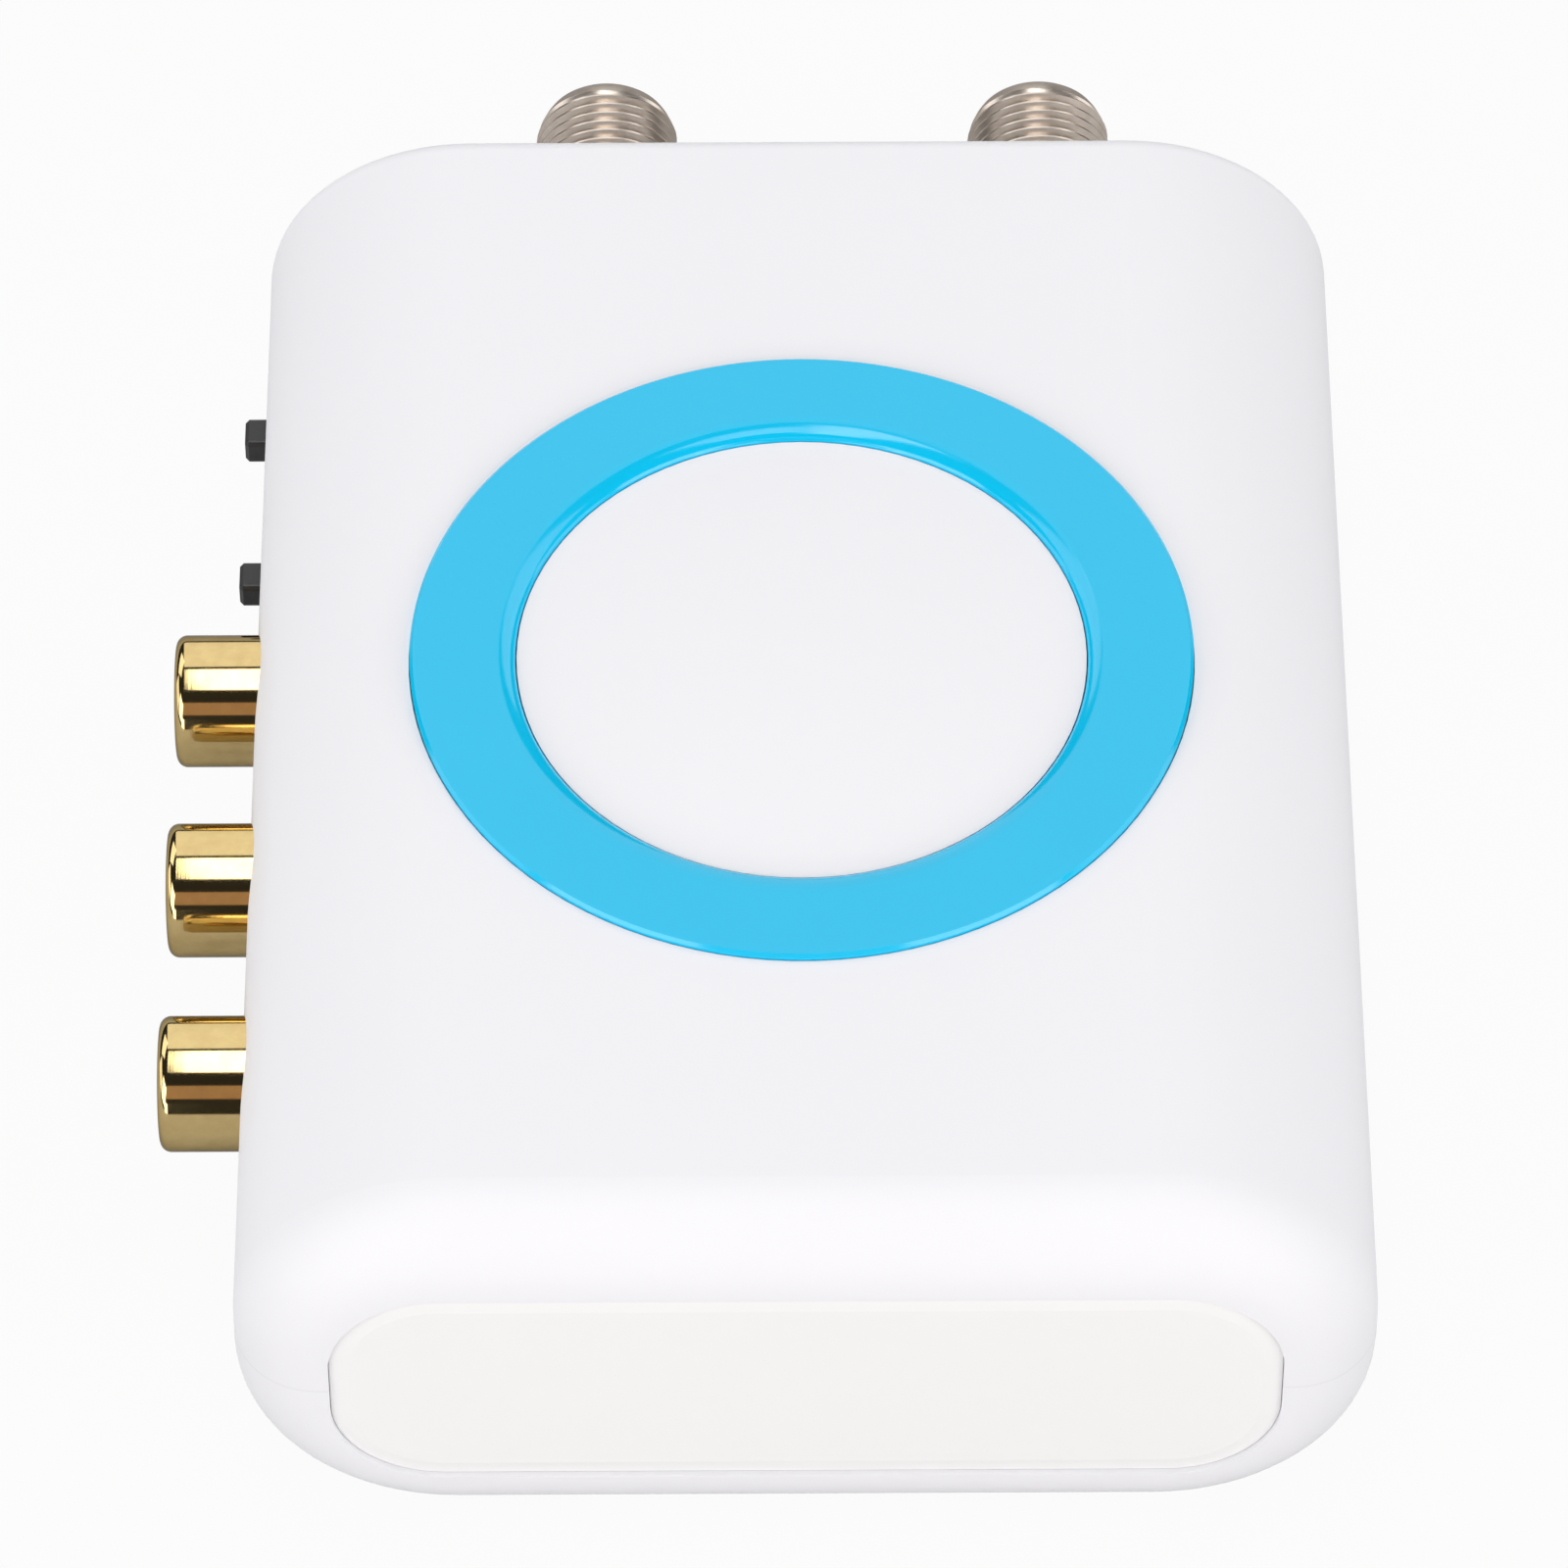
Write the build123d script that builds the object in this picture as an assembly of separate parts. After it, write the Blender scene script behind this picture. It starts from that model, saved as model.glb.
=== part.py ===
"""Small television modulator box: a white two-part moulded case with a blue ring in its lid.

Three phono jacks and two slide switches stand in the left side, two coaxial sockets and a
power inlet in the back. Inside are the board, the radio shield can and the parts on the board.
Millimetres, +Z up, +X right, -Y towards the front. The origin is the middle of the base, on the
surface that the case stands on.
"""

import os

from build123d import *

# Case: a flat pebble, lying along Y, with full round sides
CASE_W = 70.0
CASE_D = 91.0
CASE_H = 29.0
SIDE_R = 13.5
FRONT_R = 5.3
BACK_R = 1.2
WALL = 2.0
MID_Z = CASE_H / 2
FRONT_Y = -CASE_D / 2
BACK_Y = CASE_D / 2
SIDE_X = CASE_W / 2
FIT = 0.1
PRESS_GAP = 0.03
CONTACT_GAP = 0.02

# How far a cut runs out past the surface it opens
PAST = 1.0

# Tongue of the lower shell, standing in a rebate of the upper one
TONGUE_H = 1.5
TONGUE_OUT = 1.15

# End panels, held behind the case's end walls
PANEL_W = 58.0
PANEL_H = 17.8
PANEL_CORNER_R = 6.8
PANEL_FLANGE = 1.5
PANEL_FLANGE_T = 1.5
PANEL_GAP = 0.05
FRONT_INSET = 0.35
BACK_INSET = 0.6
PANEL_RIM_W = 1.2
PANEL_RIM_DROP = 0.2
PANEL_RIB_T = 1.2
PANEL_RIB_W = 4.4
PANEL_RIB_H = 7.4
PANEL_RIB_AT_X = (-19.0, 19.0)

# Stiffening ribs on the wall across from the jacks
WALL_RIB_T = 1.2
WALL_RIB_DEEP = 1.6
WALL_RIB_AT_Y = (-18.0, -4.0, 10.0)
WALL_RIB_STOP = 2.5

# Ring in the lid and the dome inside it
RING_Y = 0.95
RING_OUT_R = 24.6
RING_IN_R = 17.95
RING_GAP = 0.06
RING_PROUD = 0.4
RING_SEAT_DROP = 2.4
RING_OUT_EDGE = 0.3
RING_IN_EDGE = 0.8
DOME_EDGE_DROP = 0.25
DOME_RISE = 0.6
PEG_R = 1.0
PEG_CIRCLE_R = 21.4
PEG_ANGLES = (45, 135, 225, 315)
PEG_HEAD_R = 1.6
PEG_HEAD_H = 0.6

# Screws: four up through the base, four on the board
CASE_SCREW_AT = ((-26.0, -37.0), (26.0, -37.0), (-26.0, 38.5), (26.0, 38.5))
BOSS_R = 3.0
SCREW_R = 1.2
PILOT_R = 1.05
SCREW_HOLE_R = 1.4
SCREW_HEAD_R = 2.3
SCREW_HEAD_H = 1.6
SCREW_HEAD_EDGE = 0.6
SCREW_SEAT_Z = 5.0
CASE_SCREW_TOP_Z = 21.0
SCREW_HEAD_ROOM = 0.3
BOARD_BOSS_R = 2.6
BOARD_SCREW_AT = ((-17.0, -35.0), (17.0, -35.0), (-17.0, 26.0), (26.6, 29.0))
BOARD_SCREW_L = 3.6
BOARD_PILOT_Z = 2.6

# Recess for a label in the base
LABEL_W = 34.0
LABEL_D = 56.0
LABEL_DEEP = 0.4
LABEL_CORNER_R = 2.5

# Circuit board
BOARD_W = 60.0
BOARD_FRONT_Y = -39.5
BOARD_BACK_Y = 40.2
BOARD_T = 1.6
BOARD_TOP_Z = MID_Z - 6.5
BOARD_BOTTOM_Z = BOARD_TOP_Z - BOARD_T
NOTCH_W = 7.6
NOTCH_D = 7.0
LEAD = 0.7
LEAD_HOLE = 1.0
LEAD_BELOW = 0.8

# Phono jacks, lying along -X
JACK_AT_Y = {"video": 9.4, "left": -6.25, "right": -21.75}
JACK_OUT = 5.15
JACK_R = 4.25
JACK_NECK_R = 3.9
JACK_IN_R = 3.5
JACK_RIM_R = 0.7
JACK_FLANGE_R = 4.7
JACK_FLANGE_T = 0.6
JACK_BLOCK_X = -31.3
JACK_BLOCK_W = 9.2
JACK_BLOCK_D = 9.0
JACK_BLOCK_H = 11.0
JACK_BLOCK_EDGE = 1.0
JACK_MOUTH_DROP = 0.9
JACK_PIN_R = 1.65
JACK_PIN_DEEP = 9.6
JACK_CONTACT_R = 2.05
JACK_CONTACT_L = 7.2
JACK_CONTACT_END = 0.4
JACK_LEAD_FORWARD = 1.5

# Slide switches, facing -X, with the knob at the back end of its travel
SWITCH_AT_Y = {"channel": 30.75, "output": 18.3}
KNOB_TRAVEL = 2.0
KNOB_W = 2.3
KNOB_H = 2.0
KNOB_OUT = 1.4
KNOB_EDGE = 0.35
SLOT_W = 4.9
SLOT_H = 3.0
SLOT_FLARE = 0.3
SWITCH_X = -31.6
SWITCH_W = 8.4
SWITCH_H = 4.4
SWITCH_D = 3.8
SWITCH_SHEET = 0.3
SLIDER_W = 4.0
SLIDER_H = 3.2
SLIDER_T = 2.0
SWITCH_WINDOW_GAP = 0.25
SWITCH_FOOT_W = 1.2
SWITCH_FOOT_BACK = 0.8
SWITCH_BASE_T = 1.2
TERMINAL_STEP = 2.5
TERMINAL_BEHIND = 0.5

# Coaxial sockets with an inch-size 3/8-32 thread, lying along +Y
COAX_AT_X = {"antenna": -12.8, "tv": 16.25}
COAX_OUT = 15.0
COAX_R = 4.7625
COAX_ROOT_R = 4.55
COAX_IN_R = 3.1
COAX_HOLE_R = 4.95
COAX_NOSE_R = 3.65
COAX_NOSE_L = 0.7
COAX_TAPER_R = 4.3
COAX_TAPER_L = 2.0
COAX_BLOCK_W = 12.0
COAX_BLOCK_D = 11.0
COAX_BLOCK_H = 12.4
COAX_BLOCK_EDGE = 1.2
BLOCK_GAP = 0.1
COAX_CORE_DROP = 0.8
COAX_PIN_R = 0.65
COAX_CONTACT_R = 1.15
COAX_CONTACT_L = 8.0
COAX_CORE_L = 19.0
COAX_FUNNEL = 0.8
COAX_LEAD_ROOM = 5.0
NUT_ACROSS = 11.11
NUT_T = 2.4
NUT_CORNER = 0.9
NUT_EDGE = 0.8
WASHER_R = 6.6
WASHER_T = 0.5
COAX_LEAD_BACK = 7.5
COAX_CONTACT_DROP = 5.0

# Power inlet for a 5.5 mm plug, between the coaxial sockets
INLET_X = 1.73
INLET_W = 9.0
INLET_D = 13.4
INLET_H = 11.0
INLET_NOSE_R = 4.4
INLET_BORE_R = 3.1
INLET_DEEP = 10.0
INLET_PIN_R = 1.0
INLET_PIN_DROP = 1.0
INLET_SHANK_R = 1.3
INLET_EDGE = 0.8
INLET_RIVET = 0.5
INLET_TAG_W = 2.4
INLET_TAG_T = 0.7
LEAF_W = 3.2
LEAF_T = 0.35
LEAF_BACK = 9.5
LEAF_FRONT = 3.5

# Shield can over the radio circuit
CAN_X = 8.0
CAN_Y = 15.5
CAN_W = 32.0
CAN_D = 22.0
CAN_H = 9.0
CAN_SHEET = 0.4
CAN_SKIRT = 2.6
COIL_AT = (18.0, 20.0)
COIL_HOLE_R = 2.2
COIL_W = 7.0
COIL_H = 7.5
COIL_CORE_R = 1.6
COIL_CORE_DROP = 0.3
COIL_SLOT_W = 0.5
CAN_FENCE_X = 13.5
CAN_FENCE_DROP = 1.0
CAN_SLIT_W = 0.8
CAN_SLIT_AT = (-12, -6, 0, 6, 12)

# Parts standing on the board: their places, and their lengths, widths and heights
MODULATOR_AT = (2.5, 17.0)
MODULATOR_SIZE = (12.8, 7.5, 2.5)
MODULATOR_LEGS = 10
AUDIO_AT = (-10.0, -12.0)
AUDIO_SIZE = (5.0, 4.0, 1.7)
AUDIO_LEGS = 4
CRYSTAL_AT = (2.5, 8.5)
CRYSTAL_L = 10.4
CRYSTAL_W = 3.8
CRYSTAL_H = 3.6
SUPPLY_CAPACITOR_AT = (10.0, -27.0)
SUPPLY_CAPACITOR_R = 5.0
SUPPLY_CAPACITOR_H = 12.5
OUTPUT_CAPACITOR_AT = (23.0, -14.0)
OUTPUT_CAPACITOR_R = 3.15
OUTPUT_CAPACITOR_H = 11.0
CAN_EDGE = 0.5
REGULATOR_AT = (22.0, -26.0)
REGULATOR_W = 6.6
REGULATOR_L = 6.0
REGULATOR_H = 2.3
LEG_PITCH = 1.27
LEG_W = 0.4
LEG_T = 0.3
LEG_REACH = 1.2
LAMP_R = 1.5
LAMP_TOP = 5.2
LAMP_BASE_H = 1.0
LAMP_NOSE_R = 0.6
LAMP_HOLE_R = 1.6


def block(x_from, x_to, y_from, y_to, z_from, z_to):
    """Box between two corners."""
    middle = Pos((x_from + x_to) / 2, (y_from + y_to) / 2, (z_from + z_to) / 2)
    return middle * Box(abs(x_to - x_from), abs(y_to - y_from), abs(z_to - z_from))


def along_x(outline, x_from, x_to, y=0.0, z=MID_Z):
    """An outline drawn in Y and Z, carried from one X to another."""
    half = extrude(Plane.YZ * outline, amount=abs(x_to - x_from) / 2, both=True)
    return Pos((x_from + x_to) / 2, y, z) * half


def along_y(outline, y_from, y_to, x=0.0, z=MID_Z):
    """An outline drawn in X and Z, carried from one Y to another."""
    half = extrude(Plane.XZ * outline, amount=abs(y_to - y_from) / 2, both=True)
    return Pos(x, (y_from + y_to) / 2, z) * half


def taper_x(outline_from, x_from, outline_to, x_to, y=0.0):
    """A straight-sided form between two outlines drawn in Y and Z."""
    start = Pos(x_from, y, MID_Z) * (Plane.YZ * outline_from)
    end = Pos(x_to, y, MID_Z) * (Plane.YZ * outline_to)
    return loft([start, end], ruled=True)


def taper_y(outline_from, y_from, outline_to, y_to, x=0.0):
    """A straight-sided form between two outlines drawn in X and Z."""
    start = Pos(x, y_from, MID_Z) * (Plane.XZ * outline_from)
    end = Pos(x, y_to, MID_Z) * (Plane.XZ * outline_to)
    return loft([start, end], ruled=True)


def along_z(outline, z_from, z_to, x=0.0, y=0.0):
    """An outline drawn in X and Y, carried from one Z to another."""
    half = extrude(outline, amount=abs(z_to - z_from) / 2, both=True)
    return Pos(x, y, (z_from + z_to) / 2) * half


def case_form(inset=0.0):
    """The closed case's outside, or the same form shrunk evenly."""
    outline = RectangleRounded(CASE_W - 2 * inset, CASE_H - 2 * inset, SIDE_R - inset)
    form = along_y(outline, FRONT_Y + inset, BACK_Y - inset)
    form = fillet(form.edges().group_by(Axis.Y)[0], FRONT_R - inset)
    if BACK_R > inset:
        form = fillet(form.edges().group_by(Axis.Y)[-1], BACK_R - inset)
    return form


def lower_half(z_top=MID_Z):
    return block(-CASE_W, CASE_W, -CASE_D, CASE_D, -PAST, z_top)


def upper_half(z_bottom=MID_Z):
    return block(-CASE_W, CASE_W, -CASE_D, CASE_D, z_bottom, CASE_H + PAST)


def panel_outline(grow):
    """The end panels' round-cornered outline, grown evenly all round."""
    return RectangleRounded(PANEL_W + 2 * grow, PANEL_H + 2 * grow, PANEL_CORNER_R + grow)


def end_openings():
    """The two round-cornered windows and, behind each, the seat of a panel's flange."""
    window = panel_outline(PANEL_GAP)
    seat = panel_outline(PANEL_FLANGE + FIT)
    reach = WALL + PANEL_FLANGE_T + FIT
    cuts = along_y(window, FRONT_Y - PAST, FRONT_Y + WALL + PANEL_FLANGE_T)
    cuts += along_y(window, BACK_Y - WALL - PANEL_FLANGE_T, BACK_Y + PAST)
    cuts += along_y(seat, FRONT_Y + WALL, FRONT_Y + reach)
    cuts += along_y(seat, BACK_Y - reach, BACK_Y - WALL)
    return cuts


def side_openings():
    """Round holes for the phono jacks' necks and slots for the knobs, at the parting line."""
    cuts = Part()
    for y in JACK_AT_Y.values():
        cuts += along_x(Circle(JACK_NECK_R + FIT), -SIDE_X - PAST, -SIDE_X + WALL + PAST, y)
    slot = Rectangle(SLOT_W, SLOT_H)
    flared = Rectangle(SLOT_W + 2 * SLOT_FLARE, SLOT_H + 2 * SLOT_FLARE)
    for y in SWITCH_AT_Y.values():
        cuts += along_x(slot, -SIDE_X - PAST, -SIDE_X + WALL + PAST, y)
        cuts += taper_x(flared, -SIDE_X, slot, -SIDE_X + 2 * SLOT_FLARE, y)
    return cuts


def panel_ribs(z_from, z_to):
    """Short upright ribs that hold both end panels against the end walls."""
    ribs = Part()
    reach = WALL + PANEL_FLANGE_T + 2 * FIT
    half = PANEL_RIB_W / 2
    for x in PANEL_RIB_AT_X:
        ribs += block(x - half, x + half, FRONT_Y + reach, FRONT_Y + reach + PANEL_RIB_T, z_from, z_to)
        ribs += block(x - half, x + half, BACK_Y - reach - PANEL_RIB_T, BACK_Y - reach, z_from, z_to)
    return ribs


def wall_ribs(z_from, z_to):
    """Stiffening ribs down the right-hand wall."""
    ribs = Part()
    half = WALL_RIB_T / 2
    for y in WALL_RIB_AT_Y:
        ribs += block(SIDE_X - WALL - WALL_RIB_DEEP, SIDE_X - WALL / 2, y - half, y + half, z_from, z_to)
    return ribs


def lower_bosses():
    """Hollow pillars for the case screws and short ones for the board."""
    pillars = Part()
    for x, y in CASE_SCREW_AT:
        pillars += along_z(Circle(BOSS_R), WALL / 2, MID_Z, x, y)
    for x, y in BOARD_SCREW_AT:
        pillars += along_z(Circle(BOARD_BOSS_R), WALL / 2, BOARD_BOTTOM_Z, x, y)
    return pillars


def bottom_shell():
    """Lower half of the case, with its tongue, pillars, ribs and label recess."""
    outside = case_form()
    inside = case_form(WALL)
    shell = (outside - inside) & lower_half()
    tongue = (case_form(TONGUE_OUT) - inside) & lower_half(MID_Z + TONGUE_H)
    shell += tongue & upper_half(MID_Z - PAST)
    shell -= end_openings()
    floor_z = WALL / 2
    fill = lower_bosses() + panel_ribs(floor_z, PANEL_RIB_H)
    fill += wall_ribs(floor_z, MID_Z - WALL_RIB_STOP)
    shell += fill & outside
    shell -= side_openings()
    for x, y in CASE_SCREW_AT:
        shell -= along_z(Circle(SCREW_HOLE_R), 0, CASE_H, x, y)
        shell -= along_z(Circle(SCREW_HEAD_R + SCREW_HEAD_ROOM), -PAST, SCREW_SEAT_Z, x, y)
    for x, y in BOARD_SCREW_AT:
        shell -= along_z(Circle(PILOT_R), BOARD_PILOT_Z, BOARD_BOTTOM_Z + PAST, x, y)
    label = RectangleRounded(LABEL_W, LABEL_D, LABEL_CORNER_R)
    return shell - along_z(label, -PAST, LABEL_DEEP)


def dome():
    """Shallow domed island in the middle of the ring."""
    edge_z = CASE_H - DOME_EDGE_DROP
    rim_r = RING_IN_R - RING_GAP
    ball_r = (rim_r**2 + DOME_RISE**2) / (2 * DOME_RISE)
    ball = Pos(0, RING_Y, edge_z + DOME_RISE - ball_r) * Sphere(ball_r)
    low = CASE_H - RING_SEAT_DROP - WALL / 2
    return ball & along_z(Circle(rim_r), low, CASE_H + PAST, 0, RING_Y)


def ring_places():
    """Where the ring's pegs go through the lid."""
    return [Pos(0, RING_Y, 0) * Rot(0, 0, a) * Pos(PEG_CIRCLE_R, 0, 0) for a in PEG_ANGLES]


def top_shell():
    """Upper half of the case, with the ring's seat, the dome and the screw pillars."""
    outside = case_form()
    shell = (outside - case_form(WALL)) & upper_half()
    rebate = case_form(TONGUE_OUT - FIT) - case_form(WALL + PAST)
    shell -= rebate & block(-CASE_W, CASE_W, -CASE_D, CASE_D, 0, MID_Z + TONGUE_H + FIT)
    shell -= end_openings()
    lid_z = CASE_H - WALL / 2
    fill = panel_ribs(CASE_H - PANEL_RIB_H, lid_z)
    fill += wall_ribs(MID_Z + WALL_RIB_STOP, lid_z)
    for x, y in CASE_SCREW_AT:
        fill += along_z(Circle(BOSS_R), MID_Z, lid_z, x, y)
    seat_z = CASE_H - RING_SEAT_DROP
    fill += along_z(Circle(RING_OUT_R + WALL), seat_z - WALL, lid_z, 0, RING_Y)
    shell += fill & outside
    shell -= along_z(Circle(RING_OUT_R + RING_GAP), seat_z, CASE_H + PAST, 0, RING_Y)
    shell += dome()
    pocket_z = CASE_H - DOME_EDGE_DROP - WALL
    shell -= along_z(Circle(RING_IN_R - WALL), 0, pocket_z, 0, RING_Y)
    for place in ring_places():
        shell -= place * along_z(Circle(PEG_R + FIT), 0, CASE_H)
    shell -= along_z(Circle(LAMP_HOLE_R), 0, CASE_H, 0, RING_Y - PEG_CIRCLE_R)
    shell -= side_openings()
    for x, y in CASE_SCREW_AT:
        shell -= along_z(Circle(PILOT_R), 0, CASE_SCREW_TOP_Z + PAST, x, y)
    return shell


def accent_ring():
    """Blue ring, rounded inside and bevelled outside, with four staked pegs under it."""
    top_z = CASE_H + RING_PROUD
    seat_z = CASE_H - RING_SEAT_DROP
    band = RING_OUT_R - RING_IN_R
    outline = Pos(RING_IN_R + band / 2, (top_z + seat_z) / 2) * Rectangle(band, top_z - seat_z)
    corners = outline.vertices().group_by(Axis.Y)[-1].sort_by(Axis.X)
    outline = fillet(corners[0], RING_IN_EDGE)
    outline = chamfer(outline.vertices().sort_by(Axis.X).sort_by(Axis.Y)[-1], RING_OUT_EDGE)
    ring = Pos(0, RING_Y, 0) * revolve(Plane.XZ * outline, Axis.Z)
    for place in ring_places():
        ring += place * along_z(Circle(PEG_R), seat_z - WALL - PEG_HEAD_H, seat_z + PEG_HEAD_H)
        ring += place * along_z(Circle(PEG_HEAD_R), seat_z - WALL - PEG_HEAD_H, seat_z - WALL)
    return ring


def end_panel(end_y, inward, inset):
    """Plate in a window of the case, with a flange behind the case's wall."""
    wall_y = end_y + inward * WALL
    plate = along_y(panel_outline(PANEL_FLANGE), wall_y, wall_y + inward * PANEL_FLANGE_T)
    face_y = end_y + inward * inset
    return plate + along_y(panel_outline(0.0), face_y, wall_y + inward * PANEL_FLANGE_T / 2)


def front_panel():
    """Front panel, a low pillow whose rim slopes back into its window."""
    rim_y = FRONT_Y + FRONT_INSET
    pillow = taper_y(panel_outline(0.0), rim_y, panel_outline(-PANEL_RIM_W), rim_y - PANEL_RIM_DROP)
    return end_panel(FRONT_Y, 1, FRONT_INSET) + pillow


def rear_panel():
    """Rear panel, with holes for the coaxial sockets and the power inlet."""
    plate = end_panel(BACK_Y, -1, BACK_INSET)
    for x in COAX_AT_X.values():
        plate -= along_y(Circle(COAX_HOLE_R), block_face_y(), BACK_Y + PAST, x)
    return plate - along_y(Circle(INLET_NOSE_R + FIT), block_face_y(), BACK_Y + PAST, INLET_X)


def board():
    """Circuit board, notched round the case pillars and drilled for its leads."""
    plate = block(-BOARD_W / 2, BOARD_W / 2, BOARD_FRONT_Y, BOARD_BACK_Y, BOARD_BOTTOM_Z, BOARD_TOP_Z)
    for x, y in CASE_SCREW_AT:
        side = 1 if x > 0 else -1
        end_y = BOARD_BACK_Y if y > 0 else BOARD_FRONT_Y
        inner = end_y - NOTCH_D if y > 0 else end_y + NOTCH_D
        edge_x = side * BOARD_W / 2
        outer = end_y + PAST if y > 0 else end_y - PAST
        plate -= block(edge_x - side * NOTCH_W, edge_x + side, outer, inner, 0, MID_Z)
    for x, y in BOARD_SCREW_AT:
        plate -= along_z(Circle(SCREW_HOLE_R), 0, MID_Z, x, y)
    for x, y in lead_places():
        plate -= along_z(Pos(x, y) * Rectangle(LEAD_HOLE, LEAD_HOLE), 0, MID_Z)
    return plate


def jack_lead_x():
    return JACK_BLOCK_X + JACK_BLOCK_D - JACK_LEAD_FORWARD


def block_face_y():
    """Back faces of the coaxial sockets' and the power inlet's blocks, just inside the panel."""
    return BACK_Y - WALL - PANEL_FLANGE_T - BLOCK_GAP


def coax_lead_y():
    return BACK_Y - WALL - 0.2 - COAX_LEAD_BACK


def switch_lead_places():
    """Three terminals behind each slide switch."""
    x = SWITCH_X + SWITCH_D + TERMINAL_BEHIND
    steps = (-TERMINAL_STEP, 0.0, TERMINAL_STEP)
    return [(x, y + step) for y in SWITCH_AT_Y.values() for step in steps]


def lead_places():
    """Every place where a lead goes down through the board."""
    places = [(jack_lead_x(), y) for y in JACK_AT_Y.values()]
    places += [(x, coax_lead_y()) for x in COAX_AT_X.values()]
    places += switch_lead_places()
    places.append((INLET_X, BACK_Y - WALL - INLET_D + 1.0))
    return places


def lead(x, y, z_top):
    """Square lead from a part down to just under the board."""
    half = LEAD / 2
    return block(x - half, x + half, y - half, y + half, BOARD_BOTTOM_Z - LEAD_BELOW, z_top)


def screws(places, seat_z, tip_z):
    """Pan-head screws of one length, all on one level; tip above seat, or below it."""
    up = 1 if tip_z > seat_z else -1
    group = []
    for x, y in places:
        head = along_z(Circle(SCREW_HEAD_R), seat_z - up * SCREW_HEAD_H, seat_z, x, y)
        far = head.edges().group_by(Axis.Z)[0 if up > 0 else -1]
        head = chamfer(far, SCREW_HEAD_EDGE)
        group.append(head + along_z(Circle(SCREW_R), seat_z, tip_z, x, y))
    return Compound(children=group)


def jack_shell(y):
    """Plated sleeve of a phono jack, with a neck in the case wall and its flange behind."""
    mouth_x = -SIDE_X - JACK_OUT
    sleeve = along_x(Circle(JACK_R), mouth_x, -SIDE_X - FIT, y)
    sleeve = fillet(sleeve.edges().group_by(Axis.X)[0], JACK_RIM_R)
    sleeve += along_x(Circle(JACK_NECK_R), -SIDE_X - 2 * FIT, JACK_BLOCK_X, y)
    sleeve += along_x(Circle(JACK_FLANGE_R), JACK_BLOCK_X - JACK_FLANGE_T, JACK_BLOCK_X, y)
    return sleeve - along_x(Circle(JACK_IN_R), mouth_x - PAST, JACK_BLOCK_X + PAST, y)


def jack_housing(y):
    """Moulded body of a phono jack: the block on the board and the core in the sleeve."""
    mouth_x = -SIDE_X - JACK_OUT + JACK_MOUTH_DROP
    top_z = BOARD_TOP_Z + JACK_BLOCK_H
    half = JACK_BLOCK_W / 2
    back_x = JACK_BLOCK_X + JACK_BLOCK_D
    body = block(JACK_BLOCK_X, back_x, y - half, y + half, BOARD_TOP_Z, top_z)
    body = chamfer(body.edges().filter_by(Axis.X).group_by(Axis.Z)[-1], JACK_BLOCK_EDGE)
    body += along_x(Circle(JACK_IN_R - PRESS_GAP), mouth_x, JACK_BLOCK_X + 1, y)
    body -= along_x(Circle(JACK_PIN_R), mouth_x - PAST, mouth_x + JACK_PIN_DEEP, y)
    end_x = mouth_x + JACK_PIN_DEEP
    tube_end = end_x + JACK_CONTACT_END + FIT
    body -= along_x(Circle(JACK_CONTACT_R + CONTACT_GAP), end_x - JACK_CONTACT_L, tube_end, y)
    half = LEAD_HOLE / 2
    return body - block(end_x, jack_lead_x() + half, y - half, y + half, 0, MID_Z + 0.6)


def jack_contact(y):
    """Sprung tube that takes the plug's pin, with its lead down to the board."""
    end_x = -SIDE_X - JACK_OUT + JACK_MOUTH_DROP + JACK_PIN_DEEP
    tube = along_x(Circle(JACK_CONTACT_R), end_x - JACK_CONTACT_L, end_x + JACK_CONTACT_END, y)
    tube -= along_x(Circle(JACK_PIN_R), end_x - JACK_CONTACT_L - PAST, end_x, y)
    x = jack_lead_x()
    tail = block(end_x + 0.1, x + LEAD / 2, y - LEAD / 2, y + LEAD / 2, MID_Z - 0.5, MID_Z + 0.2)
    return tube + tail + lead(x, y, MID_Z)


def coax_socket(x):
    """Die-cast coaxial socket: the block on the board and the barrel through the panel."""
    face_y = block_face_y()
    tip_y = BACK_Y + COAX_OUT
    back_y = face_y - COAX_BLOCK_D
    half = COAX_BLOCK_W / 2
    top_z = BOARD_TOP_Z + COAX_BLOCK_H
    body = block(x - half, x + half, back_y, face_y, BOARD_TOP_Z, top_z)
    body = chamfer(body.edges().filter_by(Axis.Y).group_by(Axis.Z)[-1], COAX_BLOCK_EDGE)
    body += along_y(Circle(COAX_R), nut_face_y(), tip_y - COAX_TAPER_L, x)
    nose_y = tip_y - COAX_NOSE_L
    body += taper_y(Circle(COAX_R), tip_y - COAX_TAPER_L, Circle(COAX_TAPER_R), nose_y, x)
    body += taper_y(Circle(COAX_TAPER_R), nose_y, Circle(COAX_NOSE_R), tip_y, x)
    body += along_y(Circle(COAX_ROOT_R), face_y - 1, nut_face_y() + 0.2, x)
    core_y = tip_y - COAX_CORE_DROP - COAX_CORE_L
    body -= along_y(Circle(COAX_IN_R), core_y, tip_y + PAST, x)
    room = COAX_LEAD_ROOM / 2
    return body - block(x - room, x + room, coax_lead_y() - 2.0, core_y + 0.1, 0, MID_Z + 2.0)


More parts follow.
